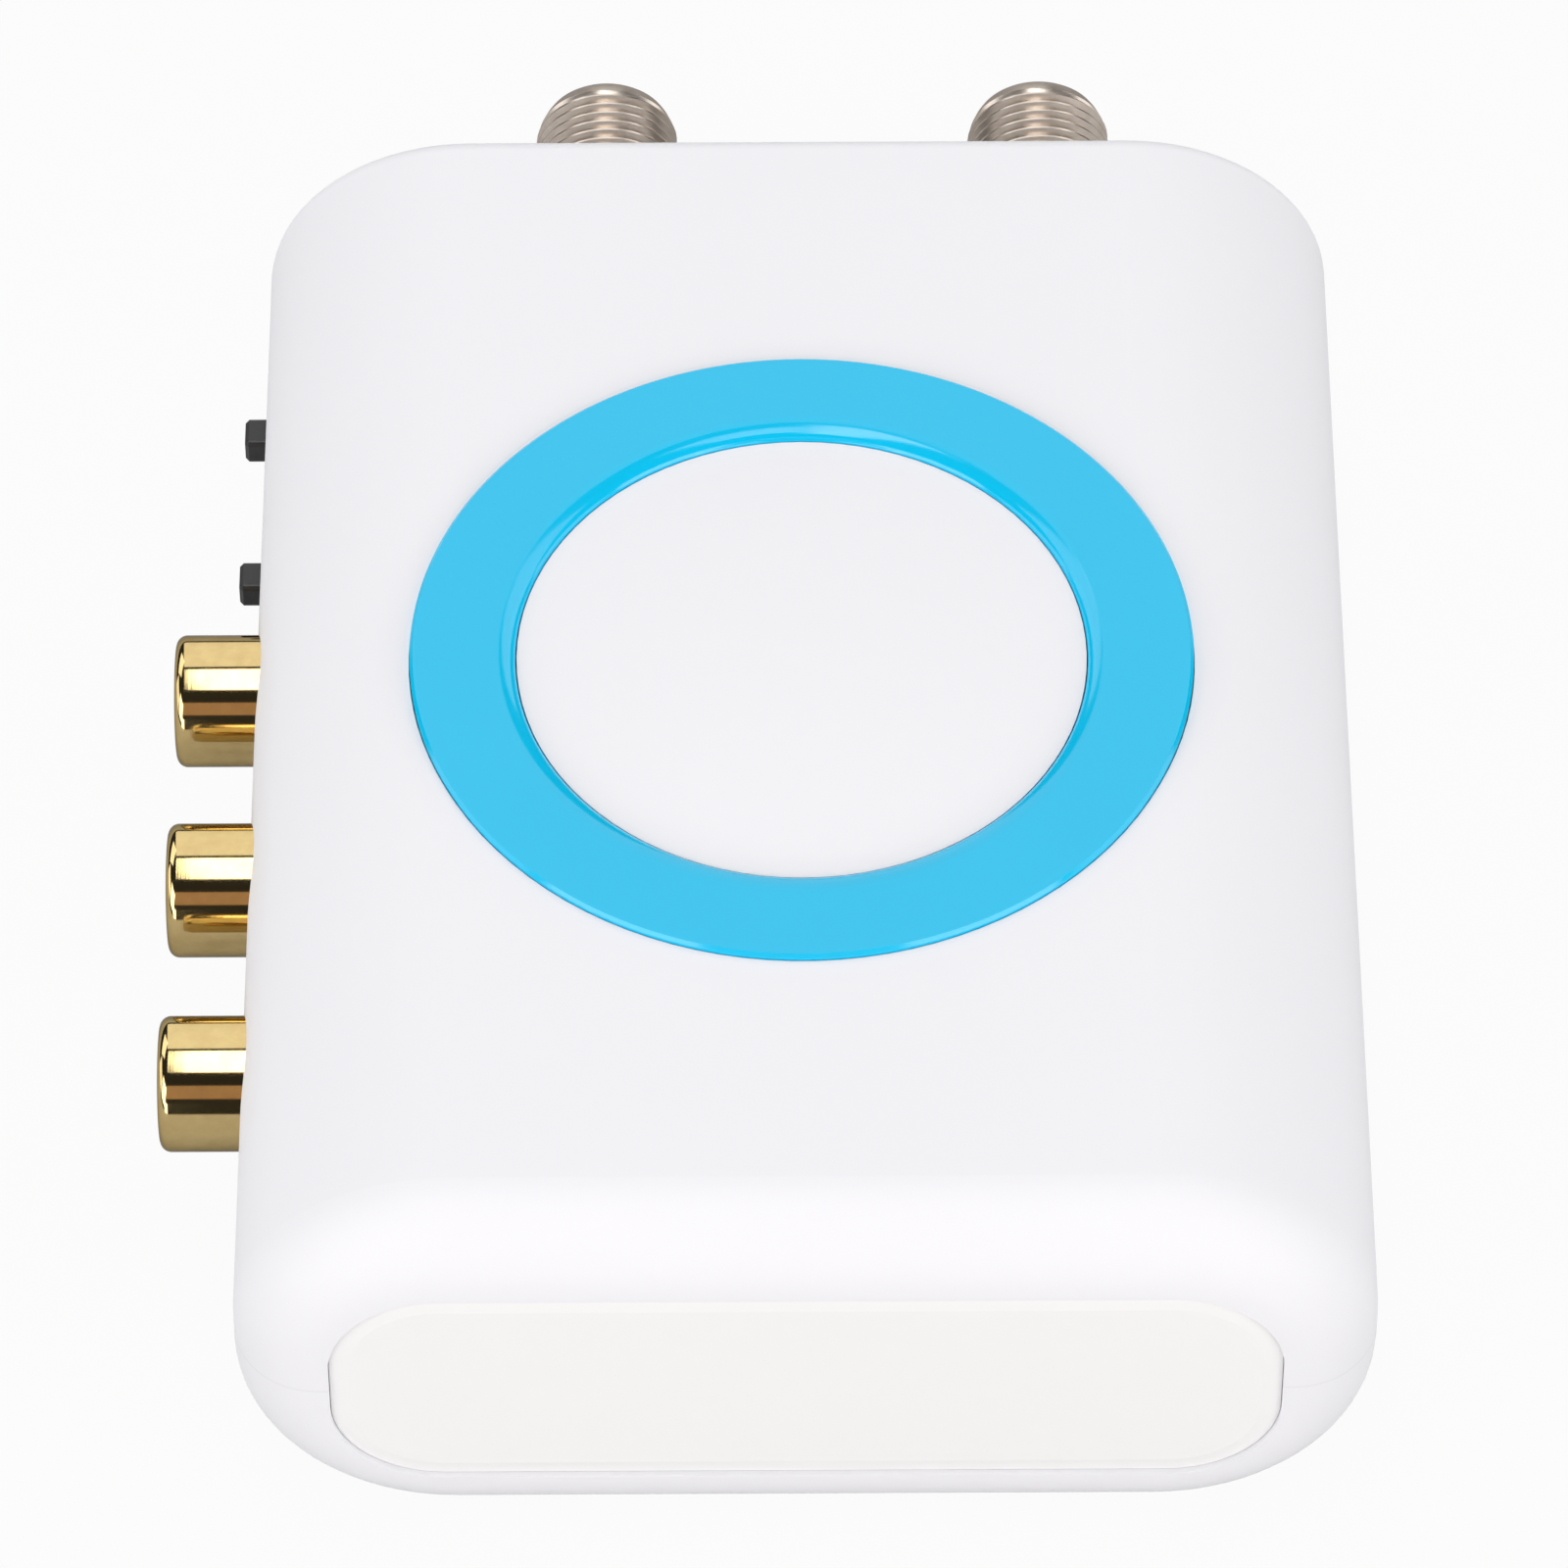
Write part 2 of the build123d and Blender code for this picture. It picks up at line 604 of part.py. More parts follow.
def coax_core(x):
    """Insulator in the barrel, with a funnel that guides the cable's own wire."""
    mouth_y = BACK_Y + COAX_OUT - COAX_CORE_DROP
    inner_y = mouth_y - COAX_CORE_L
    core = along_y(Circle(COAX_IN_R - PRESS_GAP), inner_y + 0.1, mouth_y, x)
    core -= along_y(Circle(COAX_PIN_R), inner_y - PAST, mouth_y + PAST, x)
    contact_room = Circle(COAX_CONTACT_R + CONTACT_GAP)
    core -= along_y(contact_room, inner_y - PAST, mouth_y - COAX_CONTACT_DROP, x)
    return chamfer(core.edges().group_by(Axis.Y)[-1].sort_by(SortBy.LENGTH)[0], COAX_FUNNEL)


def coax_contact(x):
    """Sprung centre tube with its lead down to the board."""
    front_y = BACK_Y + COAX_OUT - COAX_CORE_DROP - COAX_CONTACT_DROP
    y = coax_lead_y()
    tube = along_y(Circle(COAX_CONTACT_R), y - 0.5, front_y, x)
    tube -= along_y(Circle(COAX_PIN_R), front_y - COAX_CONTACT_L, front_y + PAST, x)
    return tube + lead(x, y, MID_Z - 0.4)


def nut_face_y():
    """Outer face of a coaxial socket's nut, where its free thread starts."""
    return BACK_Y - BACK_INSET + WASHER_T + NUT_T


def coax_washer(x):
    """Flat washer between the nut and the rear panel."""
    face_y = BACK_Y - BACK_INSET
    return along_y(Circle(WASHER_R) - Circle(COAX_HOLE_R), face_y, face_y + WASHER_T, x)


def coax_nut(x):
    """Hexagon nut with its corners turned down on the outer face."""
    face_y = BACK_Y - BACK_INSET + WASHER_T
    hexagon = RegularPolygon(NUT_ACROSS / 2, 6, major_radius=False)
    nut = along_y(hexagon, face_y, face_y + NUT_T, x)
    turned = along_y(Circle(NUT_ACROSS / 2 + NUT_CORNER), face_y - PAST, face_y + NUT_T, x)
    turned = chamfer(turned.edges().group_by(Axis.Y)[-1], NUT_EDGE)
    return (nut & turned) - along_y(Circle(COAX_ROOT_R + 0.05), face_y - PAST, nut_face_y() + PAST, x)


def inlet_housing():
    """Moulded power inlet: the block on the board and the nose in the panel."""
    face_y = block_face_y()
    nose_y = BACK_Y - BACK_INSET
    back_y = BACK_Y - WALL - INLET_D
    half = INLET_W / 2
    body = block(INLET_X - half, INLET_X + half, back_y, face_y, BOARD_TOP_Z, BOARD_TOP_Z + INLET_H)
    body = chamfer(body.edges().filter_by(Axis.Y).group_by(Axis.Z)[-1], INLET_EDGE)
    body += along_y(Circle(INLET_NOSE_R), face_y - 1, nose_y, INLET_X)
    body -= along_y(Circle(INLET_BORE_R), nose_y - INLET_DEEP, nose_y + PAST, INLET_X)
    body -= along_y(Circle(INLET_SHANK_R + CONTACT_GAP), back_y - PAST, nose_y, INLET_X)
    bore_x = INLET_X - INLET_BORE_R
    half = LEAF_W / 2
    window = block(bore_x - 2.0, bore_x + 0.6, nose_y - LEAF_BACK, nose_y - LEAF_FRONT, -half, half)
    return body - Pos(0, 0, MID_Z) * window


def inlet_pin():
    """Centre pin of the power inlet, blunt-nosed, riveted to its tag at the back."""
    tip_y = BACK_Y - BACK_INSET - INLET_PIN_DROP
    back_y = BACK_Y - WALL - INLET_D
    rivet_y = back_y - INLET_RIVET
    pin = along_y(Circle(INLET_PIN_R), rivet_y, tip_y, INLET_X)
    pin = chamfer(pin.edges().group_by(Axis.Y)[-1], INLET_PIN_R * 0.6)
    pin += along_y(Circle(INLET_SHANK_R), rivet_y, BACK_Y - BACK_INSET - INLET_DEEP, INLET_X)
    half = INLET_TAG_W / 2
    tag_z = BOARD_TOP_Z + 0.2
    return pin + block(INLET_X - half, INLET_X + half, back_y - INLET_TAG_T, back_y, tag_z, MID_Z + 1.6)


def inlet_spring():
    """Leaf in the inlet's side that presses on the plug's sleeve."""
    spring_x = INLET_X - INLET_BORE_R
    nose_y = BACK_Y - BACK_INSET
    leaf = Polyline(
        (spring_x - 0.9, nose_y - 9.4),
        (spring_x + 0.1, nose_y - 5.6),
        (spring_x - 0.6, nose_y - 4.0),
    )
    return along_z(trace(leaf, LEAF_T), MID_Z - LEAF_W / 2, MID_Z + LEAF_W / 2)


def switch_frame(y):
    """Folded steel cover of a slide switch, open at the back, with a window for the knob."""
    half_w = SWITCH_W / 2
    half_h = SWITCH_H / 2
    back_x = SWITCH_X + SWITCH_D
    hollow = Rectangle(SWITCH_W - 2 * SWITCH_SHEET, SWITCH_H - 2 * SWITCH_SHEET)
    cover = along_x(Rectangle(SWITCH_W, SWITCH_H), SWITCH_X, back_x, y)
    cover -= along_x(hollow, SWITCH_X + SWITCH_SHEET, back_x + PAST, y)
    window_w = KNOB_W + KNOB_TRAVEL + 2 * SWITCH_WINDOW_GAP
    window = Rectangle(window_w, KNOB_H + 2 * SWITCH_WINDOW_GAP)
    cover -= along_x(window, SWITCH_X - PAST, SWITCH_X + PAST, y)
    foot_x = SWITCH_X + SWITCH_FOOT_BACK
    for side in (-1, 1):
        wall_y = y + side * (half_w - SWITCH_SHEET)
        edge_y = y + side * half_w
        foot_top = MID_Z - half_h + SWITCH_SHEET
        cover += block(foot_x, foot_x + SWITCH_FOOT_W, wall_y, edge_y, BOARD_TOP_Z, foot_top)
    return cover


def switch_base(y):
    """Insulating back of a slide switch with three terminals through it."""
    back_x = SWITCH_X + SWITCH_D
    half_w = SWITCH_W / 2 - SWITCH_SHEET - CONTACT_GAP
    half_h = SWITCH_H / 2 - SWITCH_SHEET - CONTACT_GAP
    base = along_x(Rectangle(2 * half_w, 2 * half_h), back_x - SWITCH_BASE_T, back_x, y)
    for x, lead_y in switch_lead_places():
        if abs(lead_y - y) < half_w:
            base += lead(x, lead_y, MID_Z - 1)
            base += block(back_x - 0.2, x, lead_y - LEAD / 2, lead_y + LEAD / 2, MID_Z - 1.5, MID_Z - 1)
    return base


def switch_knob(y):
    """Sliding knob at the back end of its travel: the wide slider and the stem outside."""
    knob_y = y + KNOB_TRAVEL / 2
    slider_x = SWITCH_X + SWITCH_SHEET + 0.1
    slider = along_x(Rectangle(SLIDER_W, SLIDER_H), slider_x, slider_x + SLIDER_T, knob_y)
    tip_x = -SIDE_X - KNOB_OUT
    stem = along_x(RectangleRounded(KNOB_W, KNOB_H, KNOB_EDGE), tip_x, slider_x + 0.2, knob_y)
    stem = chamfer(stem.edges().group_by(Axis.X)[0], KNOB_EDGE * 0.7)
    return slider + stem


def shield_frame():
    """Four folded walls of tinned sheet, soldered down round the radio circuit."""
    outer = RectangleRounded(CAN_W, CAN_D, 0.8)
    inner = RectangleRounded(CAN_W - 2 * CAN_SHEET, CAN_D - 2 * CAN_SHEET, 0.4)
    top_z = BOARD_TOP_Z + CAN_H
    walls = along_z(outer - inner, BOARD_TOP_Z, top_z, CAN_X, CAN_Y)
    fence = Rectangle(CAN_SHEET, CAN_D - CAN_SHEET)
    return walls + along_z(fence, BOARD_TOP_Z, top_z - CAN_FENCE_DROP, CAN_FENCE_X, CAN_Y)


def shield_lid():
    """Sprung lid of the can, with a slit skirt and a hole over the tuning coil."""
    top_z = BOARD_TOP_Z + CAN_H
    grow = 2 * CAN_SHEET + 0.1
    outer = RectangleRounded(CAN_W + grow, CAN_D + grow, 1.2)
    inner = RectangleRounded(CAN_W + 0.1, CAN_D + 0.1, 0.85)
    lid = along_z(outer, top_z - CAN_SKIRT, top_z + CAN_SHEET, CAN_X, CAN_Y)
    lid -= along_z(inner, top_z - CAN_SKIRT - PAST, top_z, CAN_X, CAN_Y)
    slit = Rectangle(CAN_SLIT_W, 2 * CAN_D)
    for step in CAN_SLIT_AT:
        lid -= along_z(slit, top_z - CAN_SKIRT - PAST, top_z - 0.6, CAN_X + step, CAN_Y)
    return lid - along_z(Circle(COIL_HOLE_R), top_z - PAST, top_z + PAST, *COIL_AT)


def tuning_coil():
    """Small screened coil with its adjusting core showing in the top."""
    top_z = BOARD_TOP_Z + COIL_H
    coil = along_z(RectangleRounded(COIL_W, COIL_W, 0.5), BOARD_TOP_Z, top_z, *COIL_AT)
    coil -= along_z(Circle(COIL_CORE_R + 0.2), top_z - 1.0, top_z + PAST, *COIL_AT)
    coil += along_z(Circle(COIL_CORE_R), top_z - 1.5, top_z - COIL_CORE_DROP, *COIL_AT)
    slot = Rectangle(1.5 * COIL_CORE_R, COIL_SLOT_W)
    return coil - along_z(slot, top_z - 0.8, top_z + PAST, *COIL_AT)


def chip(x, y, size, legs):
    """Moulded chip lying along X, with a row of gull legs on each long side."""
    z = BOARD_TOP_Z
    length, width, height = size
    body = along_z(Rectangle(length, width), z + 0.2, z + height, x, y)
    span = Rectangle(LEG_W, width + 2 * LEG_REACH)
    for n in range(legs):
        body += along_z(span, z, z + LEG_T, x + (n - (legs - 1) / 2) * LEG_PITCH, y)
    return body


def crystal(x, y):
    """Oval metal can of the crystal, lying along X on its insulating foot."""
    z = BOARD_TOP_Z
    can = along_z(SlotOverall(CRYSTAL_L, CRYSTAL_W), z + 0.4, z + CRYSTAL_H, x, y)
    can = chamfer(can.edges().group_by(Axis.Z)[-1], CAN_EDGE)
    return can + along_z(SlotOverall(CRYSTAL_L + 0.8, CRYSTAL_W + 0.8), z, z + 0.5, x, y)


def capacitor(x, y, radius, height):
    """Upright electrolytic capacitor with its crimped neck."""
    z = BOARD_TOP_Z
    can = along_z(Circle(radius), z, z + height, x, y)
    can = chamfer(can.edges().group_by(Axis.Z)[-1], CAN_EDGE)
    ring = Circle(radius + PAST) - Circle(radius - 0.35)
    return can - along_z(ring, z + 1.2, z + 1.9, x, y)


def regulator(x, y):
    """Voltage regulator lying on the board with its cooling tab."""
    z = BOARD_TOP_Z
    edge = REGULATOR_L / 2
    body = along_z(Rectangle(REGULATOR_W, REGULATOR_L), z + 0.1, z + REGULATOR_H, x, y)
    body += block(x - 2.6, x + 2.6, y + edge, y + edge + 1.6, z, z + 0.6)
    for step in (-2.3, 2.3):
        body += block(x + step - 0.4, x + step + 0.4, y - edge - 2.6, y - edge, z, z + 0.5)
    return body


def lamp(x, y):
    """Blunt-nosed indicator lamp standing under the ring."""
    z = BOARD_TOP_Z
    bulb = along_z(Circle(LAMP_R), z + 0.8, z + LAMP_TOP, x, y)
    bulb = chamfer(bulb.edges().group_by(Axis.Z)[-1], LAMP_R - LAMP_NOSE_R)
    return bulb + along_z(Circle(LAMP_R + 0.4), z, z + LAMP_BASE_H, x, y)


def parts():
    """Every node of the box by name."""
    made = {
        "top_shell": top_shell(),
        "bottom_shell": bottom_shell(),
        "front_panel": front_panel(),
        "rear_panel": rear_panel(),
        "accent_ring": accent_ring(),
        "case_screws": screws(CASE_SCREW_AT, SCREW_SEAT_Z, CASE_SCREW_TOP_Z),
        "board_screws": screws(BOARD_SCREW_AT, BOARD_TOP_Z, BOARD_TOP_Z - BOARD_T - BOARD_SCREW_L),
        "main_board": board(),
        "shield_frame": shield_frame(),
        "shield_lid": shield_lid(),
        "tuning_coil": tuning_coil(),
        "modulator_chip": chip(*MODULATOR_AT, MODULATOR_SIZE, MODULATOR_LEGS),
        "audio_chip": chip(*AUDIO_AT, AUDIO_SIZE, AUDIO_LEGS),
        "crystal": crystal(*CRYSTAL_AT),
        "supply_capacitor": capacitor(*SUPPLY_CAPACITOR_AT, SUPPLY_CAPACITOR_R, SUPPLY_CAPACITOR_H),
        "output_capacitor": capacitor(*OUTPUT_CAPACITOR_AT, OUTPUT_CAPACITOR_R, OUTPUT_CAPACITOR_H),
        "regulator": regulator(*REGULATOR_AT),
        "power_lamp": lamp(0.0, RING_Y - PEG_CIRCLE_R),
        "power_inlet_housing": inlet_housing(),
        "power_inlet_pin": inlet_pin(),
        "power_inlet_spring": inlet_spring(),
    }
    for name, y in JACK_AT_Y.items():
        made[f"jack_shell_{name}"] = jack_shell(y)
        made[f"jack_housing_{name}"] = jack_housing(y)
        made[f"jack_contact_{name}"] = jack_contact(y)
    for name, x in COAX_AT_X.items():
        made[f"coax_socket_{name}"] = coax_socket(x)
        made[f"coax_core_{name}"] = coax_core(x)
        made[f"coax_contact_{name}"] = coax_contact(x)
        made[f"coax_washer_{name}"] = coax_washer(x)
        made[f"coax_nut_{name}"] = coax_nut(x)
    for name, y in SWITCH_AT_Y.items():
        made[f"switch_frame_{name}"] = switch_frame(y)
        made[f"switch_base_{name}"] = switch_base(y)
        made[f"switch_knob_{name}"] = switch_knob(y)
    return made


os.makedirs("parts", exist_ok=True)
for node, shape in parts().items():
    export_step(shape, f"parts/{node}.step")
    print(node, len(shape.solids()), round(shape.volume, 1))
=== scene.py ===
# %% [markdown]
# # A small television modulator box
# The object is a white moulded box the size of a palm. A blue ring is let into its lid, three
# gold-coloured phono jacks and two slide switches stand in its left side, and two threaded
# coaxial sockets stand in its back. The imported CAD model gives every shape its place, in metres.
# This file adds what CAD leaves out: finishes, threads, screw recesses, the ring's soft edge and
# the sleeves' rolled rims, and then the light and the camera. The frame comes first, because
# every later piece is fitted to it.

from math import cos, pi, radians, sin

import bmesh
import bpy
from mathutils import Matrix, Vector


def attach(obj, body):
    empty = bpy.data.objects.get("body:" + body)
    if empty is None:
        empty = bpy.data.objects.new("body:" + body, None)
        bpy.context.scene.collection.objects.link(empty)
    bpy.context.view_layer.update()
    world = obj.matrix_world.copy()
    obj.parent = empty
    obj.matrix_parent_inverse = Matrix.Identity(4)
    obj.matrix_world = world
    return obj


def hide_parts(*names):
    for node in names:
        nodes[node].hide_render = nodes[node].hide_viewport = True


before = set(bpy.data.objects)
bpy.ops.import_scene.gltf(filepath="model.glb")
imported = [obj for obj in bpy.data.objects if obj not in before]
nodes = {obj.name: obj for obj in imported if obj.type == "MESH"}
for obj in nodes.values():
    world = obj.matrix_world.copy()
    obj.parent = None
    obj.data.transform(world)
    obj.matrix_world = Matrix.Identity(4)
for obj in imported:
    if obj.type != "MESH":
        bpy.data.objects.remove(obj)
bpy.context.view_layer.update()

# The pieces below are given in millimetres, and MM turns those into the frame's metres.
MM = 0.001

# %% [markdown]
# ## The camera
# The picture was taken from in front and above, at about 50 degrees, with a long lens. A long
# lens keeps the far end of the box nearly as wide as the near end. The camera could be aimed by
# eye, but the box's outline and the ring's ellipse fix it well, so its angles and distance are
# written as numbers here. It turns round a point near the middle of the box.

# %% Place the camera
SENSOR = 36.0
FRAME_PIXELS = 1600
FOCAL_LENGTH_PIXELS = 10206.04
CAMERA_DISTANCE = 0.639435
CAMERA_HEIGHT_ANGLE = radians(50.52)
CAMERA_SIDE_ANGLE = radians(0.153)
CAMERA_ROLL = radians(-0.146)
AIM = Vector((-1.124, 2.276, 14.5)) * MM

camera_data = bpy.data.cameras.new("camera")
camera_data.sensor_width = SENSOR
camera_data.lens = FOCAL_LENGTH_PIXELS / FRAME_PIXELS * SENSOR
camera_data.clip_start = 0.01
camera_data.clip_end = 20
camera = bpy.data.objects.new("camera", camera_data)
bpy.context.scene.collection.objects.link(camera)
turn = Matrix.Rotation(-CAMERA_SIDE_ANGLE, 3, "Z")
turn = turn @ Matrix.Rotation(pi / 2 - CAMERA_HEIGHT_ANGLE, 3, "X")
turn = turn @ Matrix.Rotation(CAMERA_ROLL, 3, "Z")
camera.rotation_euler = turn.to_euler()
camera.location = AIM + turn @ Vector((0, 0, CAMERA_DISTANCE))
bpy.context.scene.camera = camera
print("lens in mm:", round(camera_data.lens, 1))
print("camera at:", [round(v, 3) for v in camera.location])

# %% [markdown]
# ## Colours and shader nodes
# Paint charts and pictures give colours as sRGB hex values, but the renderer adds light in
# linear values, so one function turns the first into the second. A finish is a small graph of
# shader nodes. One helper adds any node with its settings and its links, which keeps each
# finish short enough to read. Blender's Mix and Map Range nodes have several sockets of the same
# name, so theirs are picked by number, and the numbers get names here.

# %% Helpers for finishes
MM_PER_METRE = 1000
FACTOR, COLOUR_A, COLOUR_B = 0, 6, 7
MIXED_COLOUR = 2
VALUE, FROM_LOW, FROM_HIGH, TO_LOW, TO_HIGH = range(5)


def linear(hex_colour):
    """An sRGB hex colour as linear red, green, blue and full alpha, by the sRGB curve."""
    parts = [int(hex_colour[i : i + 2], 16) / 255 for i in (0, 2, 4)]
    return (*[p / 12.92 if p <= 0.04045 else ((p + 0.055) / 1.055) ** 2.4 for p in parts], 1.0)


def add(tree, kind, inputs=None, **settings):
    """Adds a shader node; an input's value is a number, a colour or another node's output."""
    node = tree.nodes.new(kind)
    for name, value in settings.items():
        setattr(node, name, value)
    for name, value in (inputs or {}).items():
        socket = node.inputs[name]
        if isinstance(value, bpy.types.NodeSocket):
            tree.links.new(value, socket)
        else:
            socket.default_value = value
    return node


def finish(name):
    """A new material with its surface shader; returns the material, its tree and the shader."""
    material = bpy.data.materials.new(name)
    material.use_nodes = True
    tree = material.node_tree
    return material, tree, tree.nodes["Principled BSDF"]


def place_in_mm(tree):
    """Object coordinates in millimetres: a noise of scale 4 then has grains of a quarter mm."""
    where = add(tree, "ShaderNodeTexCoord")
    in_mm = {"Vector": where.outputs["Object"], "Scale": (MM_PER_METRE,) * 3}
    return add(tree, "ShaderNodeMapping", in_mm).outputs[0]


def wear(material, names):
    """Gives one finish to CAD nodes, in every material slot they have."""
    for name in names:
        for slot in nodes[name].material_slots:
            slot.material = material


print("case white as linear:", [round(c, 3) for c in linear("EFEFF3")[:3]])

# %% [markdown]
# ## The case: white ABS
# The two halves of the case are moulded in white ABS from a finely blasted tool, which leaves a
# satin skin. The eye sees a bright, slightly cool white with a wide soft sheen, and only up close
# the faint waviness that shrinkage leaves and the fine grain of the tool. Both come from noise
# that is turned into bump: the waves are about 8 mm long and the grains a quarter of a
# millimetre. Clouds of 20 mm vary the white a little. A thin grey line where the halves meet,
# 14.5 mm up, is painted shade: it stands for the shadow in the parting line. The end panels are
# the same plastic, a touch warmer.

# %% White ABS for the case
PARTING_LINE_Z = 14.5
# Painted shade in the parting line: full this near the parting plane, gone this far from it, in mm
PARTING_SHADE_FULL_TO = 0.03
PARTING_SHADE_GONE_AT = 0.11
CLOUDS_PER_MM = 0.05
WAVES_PER_MM = 0.12
GRAINS_PER_MM = 4.0
WAVE_DEPTH = 0.3 * MM
GRAIN_DEPTH = 0.01 * MM
SHEEN_SPREAD = 0.04
ABS_IOR = 1.53


def white_abs(name, colour, shade, sheen, parting_shade_tone):
    """Satin white ABS, with painted shade in the parting line; the last argument is that shade's
    tone, 1 for none.
    """
    material, tree, shader = finish(name)
    place = place_in_mm(tree)

    # The white with its clouds, darkened by painted shade in the parting line
    cloud = add(tree, "ShaderNodeTexNoise", {"Vector": place, "Scale": CLOUDS_PER_MM, "Detail": 3.0})
    tint = {FACTOR: cloud.outputs[0], COLOUR_A: linear(colour), COLOUR_B: linear(shade)}
    tinted = add(tree, "ShaderNodeMix", tint, data_type="RGBA")
    height = add(tree, "ShaderNodeSeparateXYZ", {"Vector": place}).outputs["Z"]
    off = add(tree, "ShaderNodeMath", {0: height, 1: PARTING_LINE_Z}, operation="SUBTRACT")
    gap = add(tree, "ShaderNodeMath", {0: off.outputs[0]}, operation="ABSOLUTE")
    fade = {
        VALUE: gap.outputs[0],
        FROM_LOW: PARTING_SHADE_FULL_TO,
        FROM_HIGH: PARTING_SHADE_GONE_AT,
        TO_LOW: parting_shade_tone,
        TO_HIGH: 1.0,
    }
    # The painted shade of the parting line, as a tone that the white is multiplied by
    line = add(tree, "ShaderNodeMapRange", fade)
    both = {FACTOR: 1.0, COLOUR_A: tinted.outputs[MIXED_COLOUR], COLOUR_B: line.outputs[0]}
    shade_toned_white = add(tree, "ShaderNodeMix", both, data_type="RGBA", blend_type="MULTIPLY")
    tree.links.new(shade_toned_white.outputs[MIXED_COLOUR], shader.inputs["Base Color"])

    # The sheen, broken up by the grain of the tool
    waves = add(tree, "ShaderNodeTexNoise", {"Vector": place, "Scale": WAVES_PER_MM, "Detail": 1.0})
    grain = add(tree, "ShaderNodeTexNoise", {"Vector": place, "Scale": GRAINS_PER_MM, "Detail": 2.0})
    spread = {VALUE: grain.outputs[0], TO_LOW: sheen - SHEEN_SPREAD, TO_HIGH: sheen + SHEEN_SPREAD}
    rough = add(tree, "ShaderNodeMapRange", spread)
    tree.links.new(rough.outputs[0], shader.inputs["Roughness"])

    # The relief: fine grain on top of slow waves
    slow = {"Height": waves.outputs[0], "Strength": 0.1, "Distance": WAVE_DEPTH}
    wavy = add(tree, "ShaderNodeBump", slow)
    fine = {
        "Height": grain.outputs[0],
        "Strength": 0.03,
        "Distance": GRAIN_DEPTH,
        "Normal": wavy.outputs[0],
    }
    grainy = add(tree, "ShaderNodeBump", fine)
    tree.links.new(grainy.outputs[0], shader.inputs["Normal"])
    shader.inputs["IOR"].default_value = ABS_IOR
    return material


# The case gets painted shade in its parting line, at 0.94 of its white; the panels get none
case_white = white_abs("white_abs_satin", "EFEFF3", "EDEDF1", 0.66, 0.94)
panel_white = white_abs("warm_white_abs_satin", "F4F4F4", "F2F2F2", 0.56, 1.0)
wear(case_white, ["top_shell", "bottom_shell"])
wear(panel_white, ["front_panel", "rear_panel"])
print("case finishes:", case_white.name, panel_white.name)

# %% [markdown]
# ## The ring: blue ABS
# The ring is moulded in one flat sky blue, from a polished tool. Its colour hardly varies, so only
# a very faint cloud is mixed in, and its gloss carries the look: a low roughness with a slow
# waviness, which breaks up the long reflection along its inner edge. Clouds and waves are both
# about 12 mm wide, and the roughness varies over a third of a millimetre.

# %% Blue ABS for the ring
RING_CLOUDS_PER_MM = 0.08
RING_GRAINS_PER_MM = 3.0
RING_WAVE_DEPTH = 0.2 * MM

ring_blue, tree, shader = finish("blue_abs_gloss")
place = place_in_mm(tree)
cloud = add(tree, "ShaderNodeTexNoise", {"Vector": place, "Scale": RING_CLOUDS_PER_MM, "Detail": 2.0})
tint = {FACTOR: cloud.outputs[0], COLOUR_A: linear("08BDEA"), COLOUR_B: linear("0CC0EC")}
tinted = add(tree, "ShaderNodeMix", tint, data_type="RGBA")
tree.links.new(tinted.outputs[MIXED_COLOUR], shader.inputs["Base Color"])
grain = add(tree, "ShaderNodeTexNoise", {"Vector": place, "Scale": RING_GRAINS_PER_MM, "Detail": 2.0})
rough = add(tree, "ShaderNodeMapRange", {VALUE: grain.outputs[0], TO_LOW: 0.09, TO_HIGH: 0.15})
tree.links.new(rough.outputs[0], shader.inputs["Roughness"])
relief = {"Height": cloud.outputs[0], "Strength": 0.1, "Distance": RING_WAVE_DEPTH}
bump = add(tree, "ShaderNodeBump", relief)
tree.links.new(bump.outputs[0], shader.inputs["Normal"])
shader.inputs["IOR"].default_value = ABS_IOR
print("ring finish:", ring_blue.name)

# %% [markdown]
# ## Plated metal
# The jack sleeves are drawn from brass sheet, polished and plated in a gold-coloured finish. The
# coaxial sockets are cast, cut with a thread and plated in nickel, which has a warmer, greyer
# shine than chrome. Both are metals, so their base colour is the colour of their reflections.
# Plating follows the marks under it: faint rings from polishing on the sleeves, and a slightly
# cloudy grain on the casting. The marks run round each piece, so they change along its axis,
# every sixth of a millimetre on a sleeve. Clean metal turns into a mirror towards its edges, but
# a tarnished skin on the plating takes that away, so the reflection at a glancing angle is held
# down to half.

# %% Gold-coloured plate and nickel plate
PLATE_CLOUDS_PER_MM = 0.9
CLOUD_STARTS = 0.35
CLOUD_FULL = 0.75
MARK_DEPTH = 0.01 * MM
EDGE_REFLECTION = (0.5, 0.5, 0.5, 1.0)


